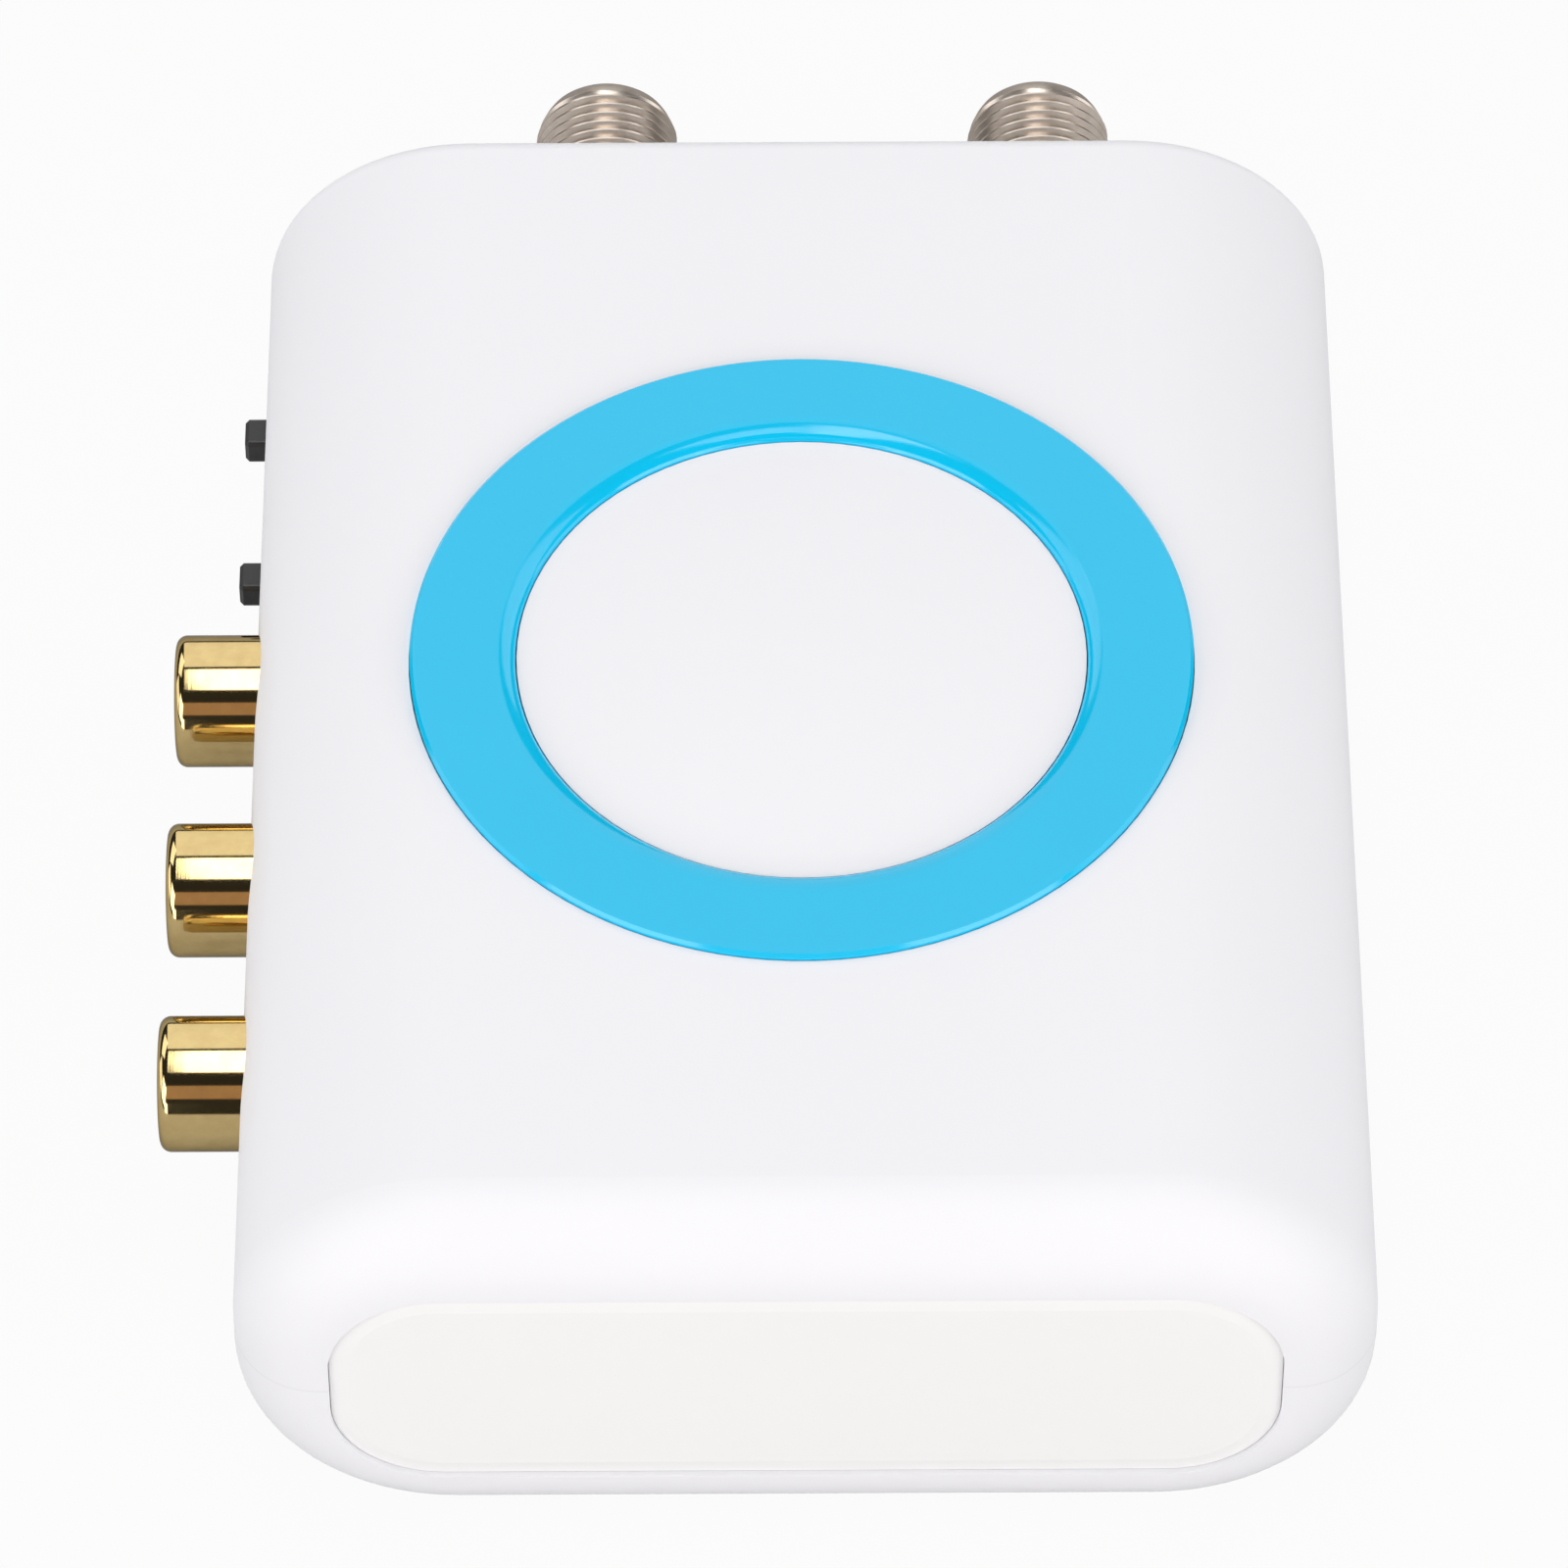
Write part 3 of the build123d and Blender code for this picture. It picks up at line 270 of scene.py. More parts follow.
def plate(name, colour, dull, roughness, spread, squeeze, marks_per_mm):
    """Plated metal with fine marks; squeeze is 1 across the marks and near 0 along them."""
    material, tree, shader = finish(name)
    place = place_in_mm(tree)
    haze = {"Vector": place, "Scale": PLATE_CLOUDS_PER_MM, "Detail": 4.0, "Roughness": 0.6}
    cloud = add(tree, "ShaderNodeTexNoise", haze)
    cut = {VALUE: cloud.outputs[0], FROM_LOW: CLOUD_STARTS, FROM_HIGH: CLOUD_FULL}
    tone = add(tree, "ShaderNodeMapRange", cut)
    tint = {FACTOR: tone.outputs[0], COLOUR_A: linear(colour), COLOUR_B: linear(dull)}
    tinted = add(tree, "ShaderNodeMix", tint, data_type="RGBA")
    tree.links.new(tinted.outputs[MIXED_COLOUR], shader.inputs["Base Color"])
    stretched = add(tree, "ShaderNodeMapping", {"Vector": place, "Scale": squeeze}).outputs[0]
    rings = {"Vector": stretched, "Scale": marks_per_mm, "Detail": 2.0}
    marks = add(tree, "ShaderNodeTexNoise", rings)
    gloss = {VALUE: cloud.outputs[0], TO_LOW: roughness, TO_HIGH: roughness + spread}
    rough = add(tree, "ShaderNodeMapRange", gloss)
    tree.links.new(rough.outputs[0], shader.inputs["Roughness"])
    relief = {"Height": marks.outputs[0], "Strength": 0.12, "Distance": MARK_DEPTH}
    bump = add(tree, "ShaderNodeBump", relief)
    tree.links.new(bump.outputs[0], shader.inputs["Normal"])
    shader.inputs["Metallic"].default_value = 1.0
    shader.inputs["Specular Tint"].default_value = EDGE_REFLECTION
    return material


gold = plate("gold_coloured_plate", "DAC188", "CFB47C", 0.06, 0.06, (1.0, 0.04, 0.04), 6.0)
nickel = plate("nickel_plate", "E4D8CC", "D2C5B9", 0.25, 0.1, (0.05, 1.0, 0.05), 5.0)
ends = ["antenna", "tv"]
wear(nickel, [f"coax_washer_{end}" for end in ends])
wear(nickel, [f"coax_nut_{end}" for end in ends])
wear(nickel, ["power_inlet_pin"])
print("plated metals:", gold.name, nickel.name)

# %% [markdown]
# ## Small mouldings
# The cores of the phono jacks are moulded in the colour that tells the plugs apart: yellow for
# the picture, white and red for the sound. The sockets' cores are natural cream plastic. The
# switch knobs and the power inlet are black, with a finely matt skin whose grain is 0.4 mm, as
# coarse as it needs to be to show. Inside are the chips, the capacitors' sleeves, the lamp's lens
# and the bases of the switches. Each could have a graph of its own, but one function makes them
# all, because only their colour and gloss differ.

# %% Moulded plastics
MOULDING_CLOUDS_PER_MM = 0.4
MOULDING_GRAINS_PER_MM = 2.5
MOULDING_GRAIN_DEPTH = 0.03 * MM
MOULDING_SPREAD = 0.06


def moulding(name, colour, other, roughness):
    """Moulded plastic with a faint cloud in its colour and a fine skin."""
    material, tree, shader = finish(name)
    place = place_in_mm(tree)
    haze = {"Vector": place, "Scale": MOULDING_CLOUDS_PER_MM, "Detail": 3.0}
    cloud = add(tree, "ShaderNodeTexNoise", haze)
    tint = {FACTOR: cloud.outputs[0], COLOUR_A: linear(colour), COLOUR_B: linear(other)}
    tinted = add(tree, "ShaderNodeMix", tint, data_type="RGBA")
    tree.links.new(tinted.outputs[MIXED_COLOUR], shader.inputs["Base Color"])
    skin = {"Vector": place, "Scale": MOULDING_GRAINS_PER_MM, "Detail": 3.0}
    grain = add(tree, "ShaderNodeTexNoise", skin)
    low, high = roughness - MOULDING_SPREAD, roughness + MOULDING_SPREAD
    rough = add(tree, "ShaderNodeMapRange", {VALUE: grain.outputs[0], TO_LOW: low, TO_HIGH: high})
    tree.links.new(rough.outputs[0], shader.inputs["Roughness"])
    relief = {"Height": grain.outputs[0], "Strength": 0.15, "Distance": MOULDING_GRAIN_DEPTH}
    bump = add(tree, "ShaderNodeBump", relief)
    tree.links.new(bump.outputs[0], shader.inputs["Normal"])
    return material


yellow = moulding("yellow_abs", "F0BE25", "E8B41C", 0.32)
white_core = moulding("white_core_abs", "EDEBE6", "E5E2DB", 0.32)
red = moulding("red_abs", "C3272B", "B82125", 0.32)
cream = moulding("cream_polyethylene", "E4DDCB", "DDD4BE", 0.45)
black = moulding("black_nylon", "242427", "1B1B1D", 0.42)
knob_black = moulding("knob_black_abs", "28282A", "202022", 0.32)
vinyl = moulding("capacitor_sleeve_vinyl", "232B45", "1D2439", 0.3)
lens = moulding("lamp_lens_epoxy", "9CC4E6", "8FB8DD", 0.12)
laminate = moulding("paper_laminate", "7A5232", "6B4528", 0.55)
wear(yellow, ["jack_housing_video"])
wear(white_core, ["jack_housing_left"])
wear(red, ["jack_housing_right"])
wear(cream, [f"coax_core_{end}" for end in ends])
wear(black, ["power_inlet_housing", "modulator_chip", "audio_chip", "regulator"])
wear(knob_black, ["switch_knob_channel", "switch_knob_output"])
wear(vinyl, ["supply_capacitor", "output_capacitor"])
wear(lens, ["power_lamp"])
wear(laminate, ["switch_base_channel", "switch_base_output"])
print("outer mouldings:", [m.name for m in (yellow, white_core, red, cream, black, knob_black)])

# %% [markdown]
# ## Inside: board, tinned sheet and spring metal
# Little of this shows, but it is there for anyone who opens the box. The board is green solder
# resist over glass cloth, whose weave of about 0.5 mm just shows as a check. The weave is too
# fine to model, so a checker pattern stands for it.

# %% The board's solder resist
WEAVE_PER_MM = 2.0
RESIST_CLOUDS_PER_MM = 0.3
WEAVE_DEPTH = 0.02 * MM

board_green, tree, shader = finish("green_solder_resist")
place = place_in_mm(tree)
weave = add(tree, "ShaderNodeTexChecker", {"Vector": place, "Scale": WEAVE_PER_MM}).outputs[1]
haze = {"Vector": place, "Scale": RESIST_CLOUDS_PER_MM, "Detail": 4.0}
cloud = add(tree, "ShaderNodeTexNoise", haze)
tint = {FACTOR: cloud.outputs[0], COLOUR_A: linear("1E6B3A"), COLOUR_B: linear("175730")}
resist = add(tree, "ShaderNodeMix", tint, data_type="RGBA").outputs[MIXED_COLOUR]
check = {FACTOR: weave, COLOUR_A: resist, COLOUR_B: linear("1B6236")}
cloth = add(tree, "ShaderNodeMix", check, data_type="RGBA")
tree.links.new(cloth.outputs[MIXED_COLOUR], shader.inputs["Base Color"])
bump = add(tree, "ShaderNodeBump", {"Height": weave, "Strength": 0.2, "Distance": WEAVE_DEPTH})
tree.links.new(bump.outputs[0], shader.inputs["Normal"])
shader.inputs["Roughness"].default_value = 0.35
wear(board_green, ["main_board"])
print("board finish:", board_green.name)

# %% [markdown]
# The shield can and the switch covers are tinned steel sheet with a cloudy, brushed shine. The
# screws are steel with a zinc plate, and the contacts that grip a plug are spring brass. All three
# are metals with fine marks, so the function for plate makes them too.

# %% Tinned sheet, zinc and contacts
tinned = plate("tinned_steel_sheet", "C9C9C3", "B5B5AE", 0.3, 0.15, (1.0, 0.1, 1.0), 3.0)
zinc = plate("zinc_plated_steel", "BDBEC2", "A6A8AD", 0.28, 0.12, (1.0, 1.0, 0.1), 4.0)
spring_brass = plate("spring_brass", "D2AE6B", "BF9A58", 0.25, 0.12, (1.0, 0.1, 1.0), 4.0)
wear(tinned, ["shield_frame", "shield_lid", "tuning_coil", "crystal"])
wear(tinned, ["switch_frame_channel", "switch_frame_output"])
contacts = [name for name in nodes if name.startswith(("jack_contact", "coax_contact"))]
wear(spring_brass, contacts + ["power_inlet_spring"])
print("contacts:", len(contacts))

# %% [markdown]
# ## Turned pieces
# The sockets, the ring, the sleeves and the screws are all round, so each starts as a profile that
# is spun about an axis. The same spin with a step along the axis makes a thread.

# %% Helpers for turned pieces
ALONG_X = (1, 0, 0)
ALONG_Y = (0, 1, 0)
ALONG_Z = (0, 0, 1)
MERGE_DISTANCE = 0.001 * MM
SMOOTH_ANGLE = radians(35)


def chain(mesh, points):
    """A line of joined vertices in a bmesh, the start of a profile; points are in millimetres."""
    made = [bmesh.ops.create_vert(mesh, co=Vector(p) * MM)["vert"][0] for p in points]
    edges = [mesh.edges.new(pair) for pair in zip(made, made[1:])]
    return made, edges


def turned(mesh, points, centre, axis, steps):
    """Spins a closed profile once round an axis, which gives a solid turned piece."""
    made, edges = chain(mesh, points)
    edges.append(mesh.edges.new((made[-1], made[0])))
    bmesh.ops.spin(
        mesh,
        geom=made + edges,
        cent=Vector(centre) * MM,
        axis=axis,
        angle=2 * pi,
        steps=steps,
        use_merge=True,
    )


def helix(mesh, points, centre, axis, pitch, turns, steps):
    """Spins an open wedge round an axis while it moves along it, as a thread does."""
    made, edges = chain(mesh, points)
    bmesh.ops.spin(
        mesh,
        geom=made + edges,
        cent=Vector(centre) * MM,
        axis=axis,
        dvec=Vector(axis) * pitch * MM / steps,
        angle=2 * pi * turns,
        steps=round(turns * steps),
    )


def piece(name, mesh, material, body, stands_for):
    """Closes a bmesh as a piece of the object, riding on a CAD body in place of a CAD node."""
    bmesh.ops.remove_doubles(mesh, verts=mesh.verts, dist=MERGE_DISTANCE)
    bmesh.ops.recalc_face_normals(mesh, faces=mesh.faces)
    data = bpy.data.meshes.new(name)
    mesh.to_mesh(data)
    mesh.free()
    data.materials.append(material)
    data.shade_smooth()
    data.set_sharp_from_angle(angle=SMOOTH_ANGLE)
    made = bpy.data.objects.new(name, data)
    bpy.context.scene.collection.objects.link(made)
    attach(made, body)
    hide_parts(stands_for)
    print(made.name, "faces:", len(data.polygons))


print("helpers ready: chain, turned, helix and piece")

# %% [markdown]
# ## The coaxial sockets and their thread
# Each socket is a cast block on the board with a barrel through the rear panel. The barrel has a
# fine inch-size thread, 32 turns to the inch, which the CAD model leaves as a plain cylinder. A
# thread could be faked with bump, but its crests catch the light and show against the
# background, so it is modelled: the barrel is a profile spun round its axis, and the ridge is a
# small wedge spun round the same axis while it moves along it, which gives a true right-handed
# screw. The ridge runs out where the smooth nose starts.

# %% The barrel, from its block to its tip
AXIS_Z = 14.5
INCH = 25.4
TURNS_PER_INCH = 32
THREAD_PITCH = INCH / TURNS_PER_INCH
THREAD_CREST_R = 4.75
THREAD_ROOT_R = 4.36
SHANK_R = 4.55
BORE_R = 3.1
BARREL_START_Y = 40.4
NUT_FACE_Y = 47.8
NOSE_START_Y = 59.0
BARREL_TIP_Y = 60.5
MOUTH_EDGE_W = 0.2
MOUTH_EDGE_H = 0.25
SHANK_TO_ROOT = 0.1
ROOT_TO_NOSE = 0.35
BARREL_STEPS = 96

# The rounded nose, as radii and how far back from the tip each lies
NOSE = [(3.6, 0.0), (3.88, 0.25), (4.12, 0.5), (4.34, 0.9), (4.5, 1.3), (4.58, 1.5)]


def socket_barrel(mesh, x):
    """The barrel with its bore: inner wall, mouth, nose, the thread's root and the shank."""
    wall = [
        (BORE_R, BARREL_START_Y),
        (BORE_R, BARREL_TIP_Y - MOUTH_EDGE_H),
        (BORE_R + MOUTH_EDGE_W, BARREL_TIP_Y),
        *[(r, BARREL_TIP_Y - back) for r, back in NOSE],
        (THREAD_ROOT_R, NOSE_START_Y - ROOT_TO_NOSE),
        (THREAD_ROOT_R, NUT_FACE_Y + SHANK_TO_ROOT),
        (SHANK_R, NUT_FACE_Y),
        (SHANK_R, BARREL_START_Y),
    ]
    points = [(x + r, y, AXIS_Z) for r, y in wall]
    turned(mesh, points, (x, 0, AXIS_Z), ALONG_Y, BARREL_STEPS)


print("thread pitch in mm:", THREAD_PITCH)

# %% [markdown]
# The ridge is a wedge with a narrow flat crest. Its foot is sunk a little into the barrel, so that
# no gap shows between the two. Near the nose each point of the ridge is drawn in towards the
# axis, the more the nearer it comes, so the thread fades out as a cut thread does.

# %% The thread's ridge
THREAD_STEPS = 48
FLANK_SHARE = 0.92
FLANK = 0.5 * THREAD_PITCH * FLANK_SHARE
CREST_HALF_W = 0.07
RIDGE_SUNK = 0.03
THREAD_BEHIND_NUT = 0.3
RUN_OUT_LENGTH = 0.45
RUN_OUT_END = 0.05
RUN_OUT_SUNK = 0.05


def socket_thread(mesh, x):
    """The ridge from behind the nut's face to the nose, where it runs out."""
    ridge = [
        (THREAD_ROOT_R - RIDGE_SUNK, -FLANK),
        (THREAD_CREST_R, -CREST_HALF_W),
        (THREAD_CREST_R, CREST_HALF_W),
        (THREAD_ROOT_R - RIDGE_SUNK, FLANK),
    ]
    start = NUT_FACE_Y - THREAD_BEHIND_NUT
    turns = (NOSE_START_Y - start) / THREAD_PITCH
    points = [(x + r, start + y, AXIS_Z) for r, y in ridge]
    before = set(mesh.verts)
    helix(mesh, points, (x, 0, AXIS_Z), ALONG_Y, THREAD_PITCH, turns, THREAD_STEPS)
    for vert in set(mesh.verts) - before:
        left = (NOSE_START_Y - RUN_OUT_END) * MM - vert.co.y
        across = Vector((vert.co.x - x * MM, 0, vert.co.z - AXIS_Z * MM))
        height = across.length - (THREAD_ROOT_R - RUN_OUT_SUNK) * MM
        keep = min(max(left / (RUN_OUT_LENGTH * MM), 0.0), 1.0)
        vert.co -= across.normalized() * height * (1 - keep)
    return turns


print("flank in mm:", round(FLANK, 3))

# %% [markdown]
# Behind the rear panel the barrel grows out of a cast block, which stands on the board. It is a
# cube, scaled to size, with small rounds on its edges as a casting has.

# %% The cast block, and both sockets
BLOCK_SIZE = (12.0, 11.0, 12.4)
BLOCK_FACE_Y = 41.9
BLOCK_MIDDLE_Z = 14.2
BLOCK_EDGE = 0.6
COAX_X = {"antenna": -12.8, "tv": 16.25}


def socket_block(mesh, x):
    """The cast block behind the barrel, with rounded edges."""
    block = bmesh.ops.create_cube(mesh, size=1)["verts"]
    middle = (x, BLOCK_FACE_Y - BLOCK_SIZE[1] / 2, BLOCK_MIDDLE_Z)
    bmesh.ops.scale(mesh, vec=Vector(BLOCK_SIZE) * MM, verts=block)
    bmesh.ops.translate(mesh, vec=Vector(middle) * MM, verts=block)
    edges = {edge for vert in block for edge in vert.link_edges}
    bmesh.ops.bevel(
        mesh,
        geom=list(edges),
        offset=BLOCK_EDGE * MM,
        segments=3,
        profile=0.5,
        affect="EDGES",
        material=-1,
    )


for name, x in COAX_X.items():
    mesh = bmesh.new()
    socket_barrel(mesh, x)
    turns = socket_thread(mesh, x)
    socket_block(mesh, x)
    piece(f"threaded_socket_{name}", mesh, nickel, "case", f"coax_socket_{name}")
    print("turns of its thread:", round(turns, 1))

# %% [markdown]
# ## The blue ring with its soft inner edge
# The ring's flat top rolls softly down to the dome, and that roll carries a pale arc of light at
# the far side. Its section is a quarter ellipse, wider than it is high, which a plain fillet in the
# CAD model only comes near to. The ring is turned from that section.

# %% The ring, turned with an elliptical inner edge
RING_Y = 0.95
RING_IN_R = 17.95
RING_OUT_R = 24.6
RING_TOP_Z = 29.4
RING_SEAT_Z = 26.6
RING_ROLL_W = 1.6
RING_ROLL_H = 0.75
RING_ROLL_STEPS = 18
RING_ROLL_END = 0.05
RING_OUT_EDGE = 0.2
RING_STEPS = 192


def soft_roll():
    """Quarter ellipse from the ring's inner wall to its flat top, as radii and heights."""
    turns = [pi / 2 * i / RING_ROLL_STEPS for i in range(RING_ROLL_STEPS + 1)]
    middle_r = RING_IN_R + RING_ROLL_W
    middle_z = RING_TOP_Z - RING_ROLL_H
    return [(middle_r - RING_ROLL_W * cos(a), middle_z + RING_ROLL_H * sin(a)) for a in turns]


ring_mesh = bmesh.new()
section = [
    (RING_IN_R, RING_SEAT_Z),
    *soft_roll(),
    (RING_IN_R + RING_ROLL_W + RING_ROLL_END, RING_TOP_Z),
    (RING_OUT_R - RING_OUT_EDGE, RING_TOP_Z),
    (RING_OUT_R, RING_TOP_Z - RING_OUT_EDGE),
    (RING_OUT_R, RING_SEAT_Z),
]
points = [(r, RING_Y, z) for r, z in section]
turned(ring_mesh, points, (0, RING_Y, 0), ALONG_Z, RING_STEPS)
print("points in the ring's section:", len(section))

# %% [markdown]
# Four pegs stand under the ring, go through the lid and end in heads, as they do once they have
# been melted over. Each is a plain cylinder whose top is sunk a little into the ring.

# %% The ring's pegs
PEG_LOW_Z = 24.0
PEG_INTO_RING = 0.3
PEG_CIRCLE_R = 21.4
PEG_R = 1.0
PEG_HEAD_R = 1.6
PEG_HEAD_H = 0.6
PEG_SIDES = 24


def peg(mesh, angle, radius, z_from, z_to):
    """A round peg under the ring, at an angle round it."""
    x = PEG_CIRCLE_R * cos(angle)
    y = RING_Y + PEG_CIRCLE_R * sin(angle)
    middle = Vector((x, y, (z_from + z_to) / 2)) * MM
    bmesh.ops.create_cone(
        mesh,
        cap_ends=True,
        segments=PEG_SIDES,
        radius1=radius * MM,
        radius2=radius * MM,
        depth=(z_to - z_from) * MM,
        matrix=Matrix.Translation(middle),
    )


for corner in range(4):
    angle = pi / 4 + corner * pi / 2
    peg(ring_mesh, angle, PEG_R, PEG_LOW_Z, RING_SEAT_Z + PEG_INTO_RING)
    peg(ring_mesh, angle, PEG_HEAD_R, PEG_LOW_Z, PEG_LOW_Z + PEG_HEAD_H)
piece("soft_edged_ring", ring_mesh, ring_blue, "case", "accent_ring")

# %% [markdown]
# ## The sleeves of the phono jacks
# Each jack's sleeve is drawn from brass sheet and its mouth is rolled over, so its rim is round
# and smooth. It could be a pipe with a bevel, but a spun profile gives the rim its exact round.
# The CAD model stops the sleeve just off the case wall, where a plug's collar stops. Here the
# same sleeve runs on into the wall, so that no step shows where it leaves the case.

# %% The phono sleeves, turned with a rolled rim
SLEEVE_R = 4.25
SLEEVE_IN_R = 3.5
SLEEVE_MOUTH_X = -40.15
SLEEVE_MOUTH_EDGE = 0.05
SLEEVE_RIM_R = 0.7
SLEEVE_RIM_STEPS = 8
SLEEVE_WALL_X = -34.3
SLEEVE_NECK_R = 3.9
SLEEVE_FLANGE_R = 4.7
SLEEVE_FLANGE_X = -31.9
SLEEVE_END_X = -31.3
SLEEVE_STEPS = 96
JACK_Y = {"video": 9.4, "left": -6.25, "right": -21.75}


def rolled_rim():
    """Quarter round from the sleeve's outside to its mouth, as places along X and radii."""
    turns = [pi / 2 * i / SLEEVE_RIM_STEPS for i in range(SLEEVE_RIM_STEPS + 1)]
    middle_x = SLEEVE_MOUTH_X + SLEEVE_RIM_R
    middle_r = SLEEVE_R - SLEEVE_RIM_R
    return [(middle_x - SLEEVE_RIM_R * sin(a), middle_r + SLEEVE_RIM_R * cos(a)) for a in turns]


def phono_sleeve(name, y):
    """One jack's sleeve: its flange and neck inside the case, its wall and its rolled rim."""
    mesh = bmesh.new()
    wall = [
        (SLEEVE_END_X, SLEEVE_IN_R),
        (SLEEVE_END_X, SLEEVE_FLANGE_R),
        (SLEEVE_FLANGE_X, SLEEVE_FLANGE_R),
        (SLEEVE_FLANGE_X, SLEEVE_NECK_R),
        (SLEEVE_WALL_X, SLEEVE_NECK_R),
        (SLEEVE_WALL_X, SLEEVE_R),
        *rolled_rim(),
        (SLEEVE_MOUTH_X + SLEEVE_MOUTH_EDGE, SLEEVE_IN_R),
    ]
    points = [(x, y, AXIS_Z + r) for x, r in wall]
    turned(mesh, points, (0, y, AXIS_Z), ALONG_X, SLEEVE_STEPS)
    piece(f"rolled_sleeve_{name}", mesh, gold, "case", f"jack_shell_{name}")


for name, y in JACK_Y.items():
    phono_sleeve(name, y)

# %% [markdown]
# ## The screws
# Pan-head screws hold the case and the board. Only the heads of the case screws show, at the
# bottom of their wells in the base. A screw is one turned profile with a helix round its shank,
# and its cross recess is two tapered bars cut out of the head. Cutting is a boolean, which is
# safe here because the head is a closed turned solid.

# %% The head and core of a screw, with its cross recess
SCREW_CORE_R = 0.95
SCREW_STEPS = 48
SCREW_TIP_LENGTH = 1.2
SCREW_TIP_R = 0.3
HEAD_R = 2.3
HEAD_H = 1.6

# The rounded top of the head, as radii and how far from its crown each lies
HEAD_ROUND = [(0.0, 0.0), (1.2, 0.1), (1.85, 0.45), (HEAD_R, 1.1)]

# A bar of the recess: its length, width and depth, and what its taper leaves of the first two
RECESS_BAR = (2.6, 0.62, 2.0)
RECESS_TAPER_LENGTH = 0.45
RECESS_TAPER_WIDTH = 0.7


def loose_object(name, mesh):
    """A bmesh as an object of its own, for a boolean."""
    data = bpy.data.meshes.new(name)
    mesh.to_mesh(data)
    mesh.free()
    made = bpy.data.objects.new(name, data)
    bpy.context.scene.collection.objects.link(made)
    return made


def cross_cutter(x, y, head_z, up):
    """Two tapered bars crossed over a screw's head; up is 1 if the screw points up, else -1."""
    mesh = bmesh.new()
    for quarter in (0, 1):
        bar = bmesh.ops.create_cube(mesh, size=1)["verts"]
        bmesh.ops.scale(mesh, vec=Vector(RECESS_BAR) * MM, verts=bar)
        for vert in bar:
            if vert.co.z * up > 0:
                vert.co.x *= RECESS_TAPER_LENGTH
                vert.co.y *= RECESS_TAPER_WIDTH
        spin = Matrix.Rotation(quarter * pi / 2, 4, "Z")
        place = Matrix.Translation(Vector((x, y, head_z)) * MM) @ spin
        bmesh.ops.transform(mesh, matrix=place, verts=bar)
    return loose_object("cutter", mesh)


def screw_solid(x, y, seat_z, tip_z, up):
    """One screw's head and core, with its recess cut, as a mesh."""
    top = seat_z - up * HEAD_H
    profile = [
        *[(r, top + up * depth) for r, depth in HEAD_ROUND],
        (HEAD_R, seat_z),
        (SCREW_CORE_R, seat_z),
        (SCREW_CORE_R, tip_z - up * SCREW_TIP_LENGTH),
        (SCREW_TIP_R, tip_z),
        (0.0, tip_z),
    ]
    mesh = bmesh.new()
    turned(mesh, [(x + r, y, z) for r, z in profile], (x, y, 0), ALONG_Z, SCREW_STEPS)
    bmesh.ops.remove_doubles(mesh, verts=mesh.verts, dist=MERGE_DISTANCE)
    bmesh.ops.recalc_face_normals(mesh, faces=mesh.faces)
    body = loose_object("screw", mesh)
    cutter = cross_cutter(x, y, top, up)
    cut = body.modifiers.new("recess", "BOOLEAN")
    cut.object = cutter
    cut.operation = "DIFFERENCE"
    cut.solver = "EXACT"
    finished = body.evaluated_get(bpy.context.evaluated_depsgraph_get())
    result = bpy.data.meshes.new_from_object(finished)
    bpy.data.objects.remove(body)
    bpy.data.objects.remove(cutter)
    return result


print("recess in mm:", RECESS_BAR)

# %% [markdown]
# The thread of a screw for plastic is coarse and sharp. It starts a little below the head and ends
# a little before the tip. All four screws of a set are one piece, because they are one CAD node.

# %% Both sets of screws
SCREW_CREST_R = 1.19
SCREW_PITCH = 0.9
SCREW_FLANK = 0.3
SCREW_RIDGE_SUNK = 0.03
SCREW_THREAD_STEPS = 20
PLAIN_NECK = 1.0
PLAIN_TIP = 1.4
CASE_SCREWS = [(-26.0, -37.0), (26.0, -37.0), (-26.0, 38.5), (26.0, 38.5)]
BOARD_SCREWS = [(-17.0, -35.0), (17.0, -35.0), (-17.0, 26.0), (26.6, 29.0)]


def screw_set(name, node, places, seat_z, tip_z):
    """A set of screws of one length, from the seat of their heads to their tips."""
    up = 1 if tip_z > seat_z else -1
    start = seat_z + PLAIN_NECK if up > 0 else tip_z + PLAIN_TIP
    turns = (abs(tip_z - seat_z) - PLAIN_NECK - PLAIN_TIP) / SCREW_PITCH
    foot_r = SCREW_CORE_R - SCREW_RIDGE_SUNK
    wedge = [(foot_r, -SCREW_FLANK), (SCREW_CREST_R, 0.0), (foot_r, SCREW_FLANK)]
    mesh = bmesh.new()
    for x, y in places:
        mesh.from_mesh(screw_solid(x, y, seat_z, tip_z, up))
        points = [(x + r, y, start + z) for r, z in wedge]
        helix(mesh, points, (x, y, 0), ALONG_Z, SCREW_PITCH, turns, SCREW_THREAD_STEPS)
    piece(name, mesh, zinc, "case", node)


screw_set("cross_head_case_screws", "case_screws", CASE_SCREWS, 5.0, 21.0)
screw_set("cross_head_board_screws", "board_screws", BOARD_SCREWS, 8.0, 2.8)

# %% [markdown]
# ## The floor
# The box stands on a plain pale floor. Light that turned the floor white would burn out the
# case as well, so the floor is grey paper to the sleeves and to the sides of the box. The camera
# sees it nearly white, because most of what a camera ray meets there is plain white emission.
# The rest is the paper itself, which keeps the box's shadow.

# %% Background paper
CAMERA_SHARE = 0.94
MIRRORED_SHARE = 0.1
FLOOR_REACH = 3.0
PAPER_CLOUDS_PER_METRE = 3.0

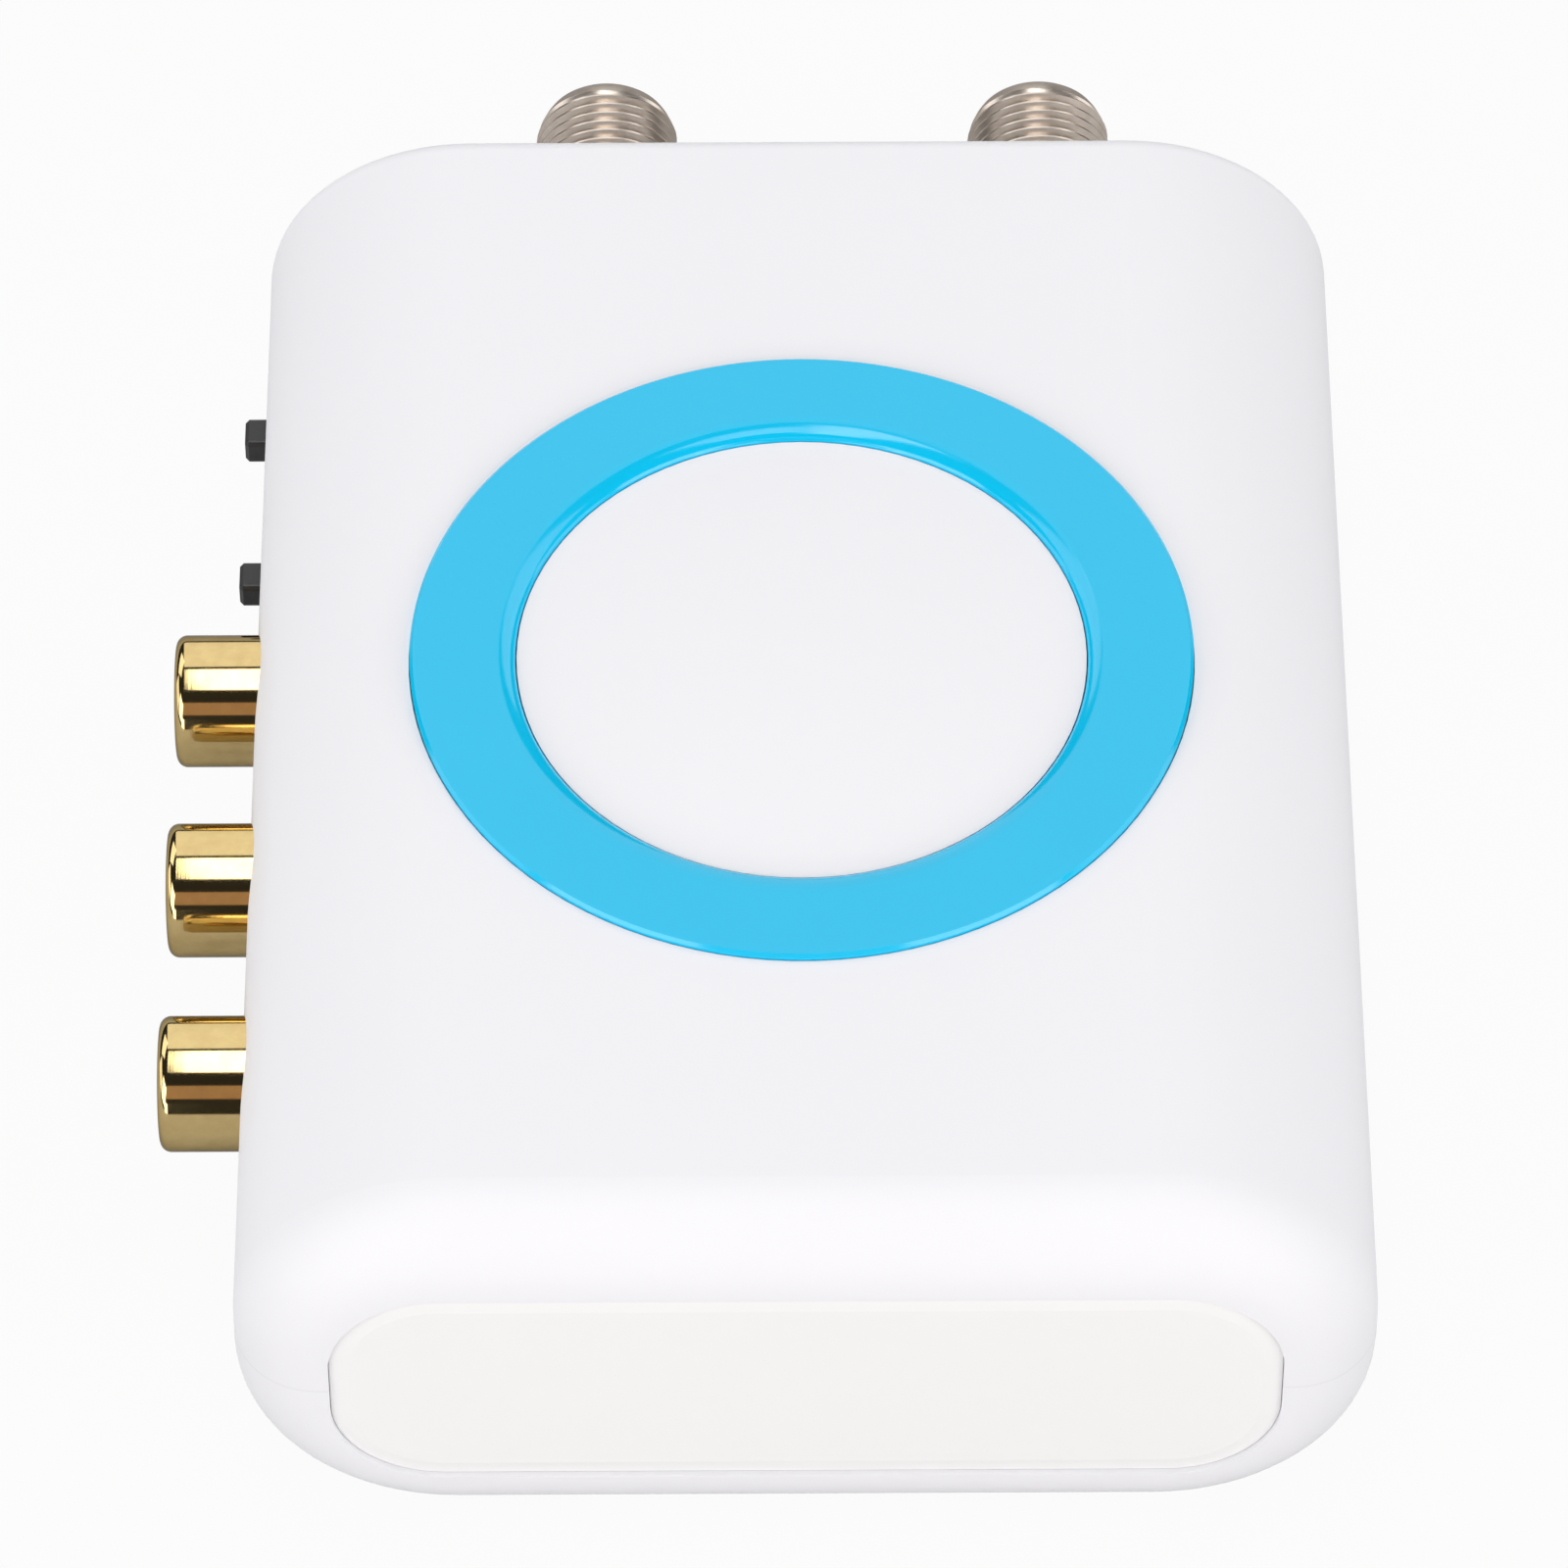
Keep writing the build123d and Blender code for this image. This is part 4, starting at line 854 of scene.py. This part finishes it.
floor_mesh = bmesh.new()
bmesh.ops.create_grid(floor_mesh, x_segments=2, y_segments=2, size=FLOOR_REACH)
floor_data = bpy.data.meshes.new("floor")
floor_mesh.to_mesh(floor_data)
floor_mesh.free()
floor = bpy.data.objects.new("floor", floor_data)
bpy.context.scene.collection.objects.link(floor)

paper, tree, shader = finish("white_background_paper")
where = add(tree, "ShaderNodeTexCoord").outputs["Object"]
cloud = add(tree, "ShaderNodeTexNoise", {"Vector": where, "Scale": PAPER_CLOUDS_PER_METRE})
tint = {FACTOR: cloud.outputs[0], COLOUR_A: linear("C0C0C0"), COLOUR_B: linear("C3C3C3")}
tinted = add(tree, "ShaderNodeMix", tint, data_type="RGBA")
tree.links.new(tinted.outputs[MIXED_COLOUR], shader.inputs["Base Color"])
shader.inputs["Roughness"].default_value = 0.9
shader.inputs["Specular IOR Level"].default_value = 0.2

ray = add(tree, "ShaderNodeLightPath").outputs
seen = add(tree, "ShaderNodeMath", {0: ray["Is Camera Ray"], 1: CAMERA_SHARE}, operation="MULTIPLY")
both = {0: ray["Is Glossy Ray"], 1: ray["Is Transmission Ray"]}
mirrored = add(tree, "ShaderNodeMath", both, operation="ADD")
share = {0: mirrored.outputs[0], 1: MIRRORED_SHARE, 2: seen.outputs[0]}
factor = add(tree, "ShaderNodeMath", share, operation="MULTIPLY_ADD", use_clamp=True)
white = add(tree, "ShaderNodeEmission", {"Color": linear("FFFFFF"), "Strength": 1.0})
layers = {0: factor.outputs[0], 1: shader.outputs[0], 2: white.outputs[0]}
mixed = add(tree, "ShaderNodeMixShader", layers)
tree.links.new(mixed.outputs[0], tree.nodes["Material Output"].inputs["Surface"])
floor.data.materials.append(paper)
print("floor finish:", paper.name)

# %% [markdown]
# ## The light
# The light is that of a plain soft studio. A picture of a studio could give it, but panels can be
# placed one by one, and polished metal shows whatever stands round it. Three panels are placed
# for the jack sleeves, which lie on their sides and show one band for each. A narrow bright
# ceiling panel gives the white band, a tall paler panel behind gives the pale gold above it, and
# a dim warm panel in front gives the brown band at the bottom. The dark room between them gives
# the dark bands. A second ceiling panel, further right, carries the pale arc on the ring's soft
# edge round to the left. The white case needs more light than these give. So soft boxes stand
# low in front of it, at its front corners, at its rear corners and beside it, the same on both
# sides, outside the plane in which the sleeves reflect. Each light is given by its brightness as
# it is seen, and its power follows from its size.

# %% Panels, soft boxes and room
WATTS_PER_SQUARE_METRE = 4
ROOM_STRENGTH = 0.03
CENTRE = (0.0, 0.0, 0.0145)


def panel_light(name, at, towards, wide, high, brightness, colour="FFFFFF"):
    """A soft rectangular light; its power follows from its size and its brightness."""
    data = bpy.data.lights.new(name, "AREA")
    data.shape = "RECTANGLE"
    data.size = wide
    data.size_y = high
    data.energy = WATTS_PER_SQUARE_METRE * wide * high * brightness
    data.color = linear(colour)[:3]
    lamp = bpy.data.objects.new(name, data)
    lamp.location = at
    lamp.rotation_euler = (Vector(towards) - Vector(at)).to_track_quat("-Z", "Y").to_euler()
    bpy.context.scene.collection.objects.link(lamp)
    print(name, "power in watts:", round(data.energy, 2))


panel_light("ceiling_panel", (-0.085, -0.01, 0.8), (-0.085, -0.01, 0.0), 0.14, 0.54, 3.3)
panel_light("right_ceiling_panel", (0.1, -0.01, 0.8), (0.1, -0.01, 0.0), 0.2, 0.3, 2.0)
panel_light("back_panel", (-0.03, 0.675, 0.49), CENTRE, 0.42, 1.0, 0.92)
panel_light("warm_front_panel", (0.0, -0.62, 0.48), CENTRE, 0.7, 0.3, 0.36, "FFD1B0")
for word, side in (("left", -1), ("right", 1)):
    panel_light(f"{word}_front_soft_box", (side * 0.42, -0.9, 0.16), CENTRE, 0.4, 0.3, 2.45)
    panel_light(f"{word}_corner_soft_box", (side * 0.54, -0.485, 0.353), CENTRE, 0.5, 0.5, 2.66)
    panel_light(f"{word}_rear_soft_box", (side * 0.47, 0.394, 0.529), CENTRE, 0.5, 0.5, 1.35)
    panel_light(f"{word}_side_soft_box", (side * 0.773, 0.0, 0.222), CENTRE, 0.5, 0.36, 1.25)

room = bpy.data.worlds.new("studio_room")
room.use_nodes = True
background = room.node_tree.nodes["Background"]
background.inputs["Color"].default_value = (1, 1, 1, 1)
background.inputs["Strength"].default_value = ROOM_STRENGTH
bpy.context.scene.world = room
bpy.context.scene.view_settings.view_transform = "Standard"
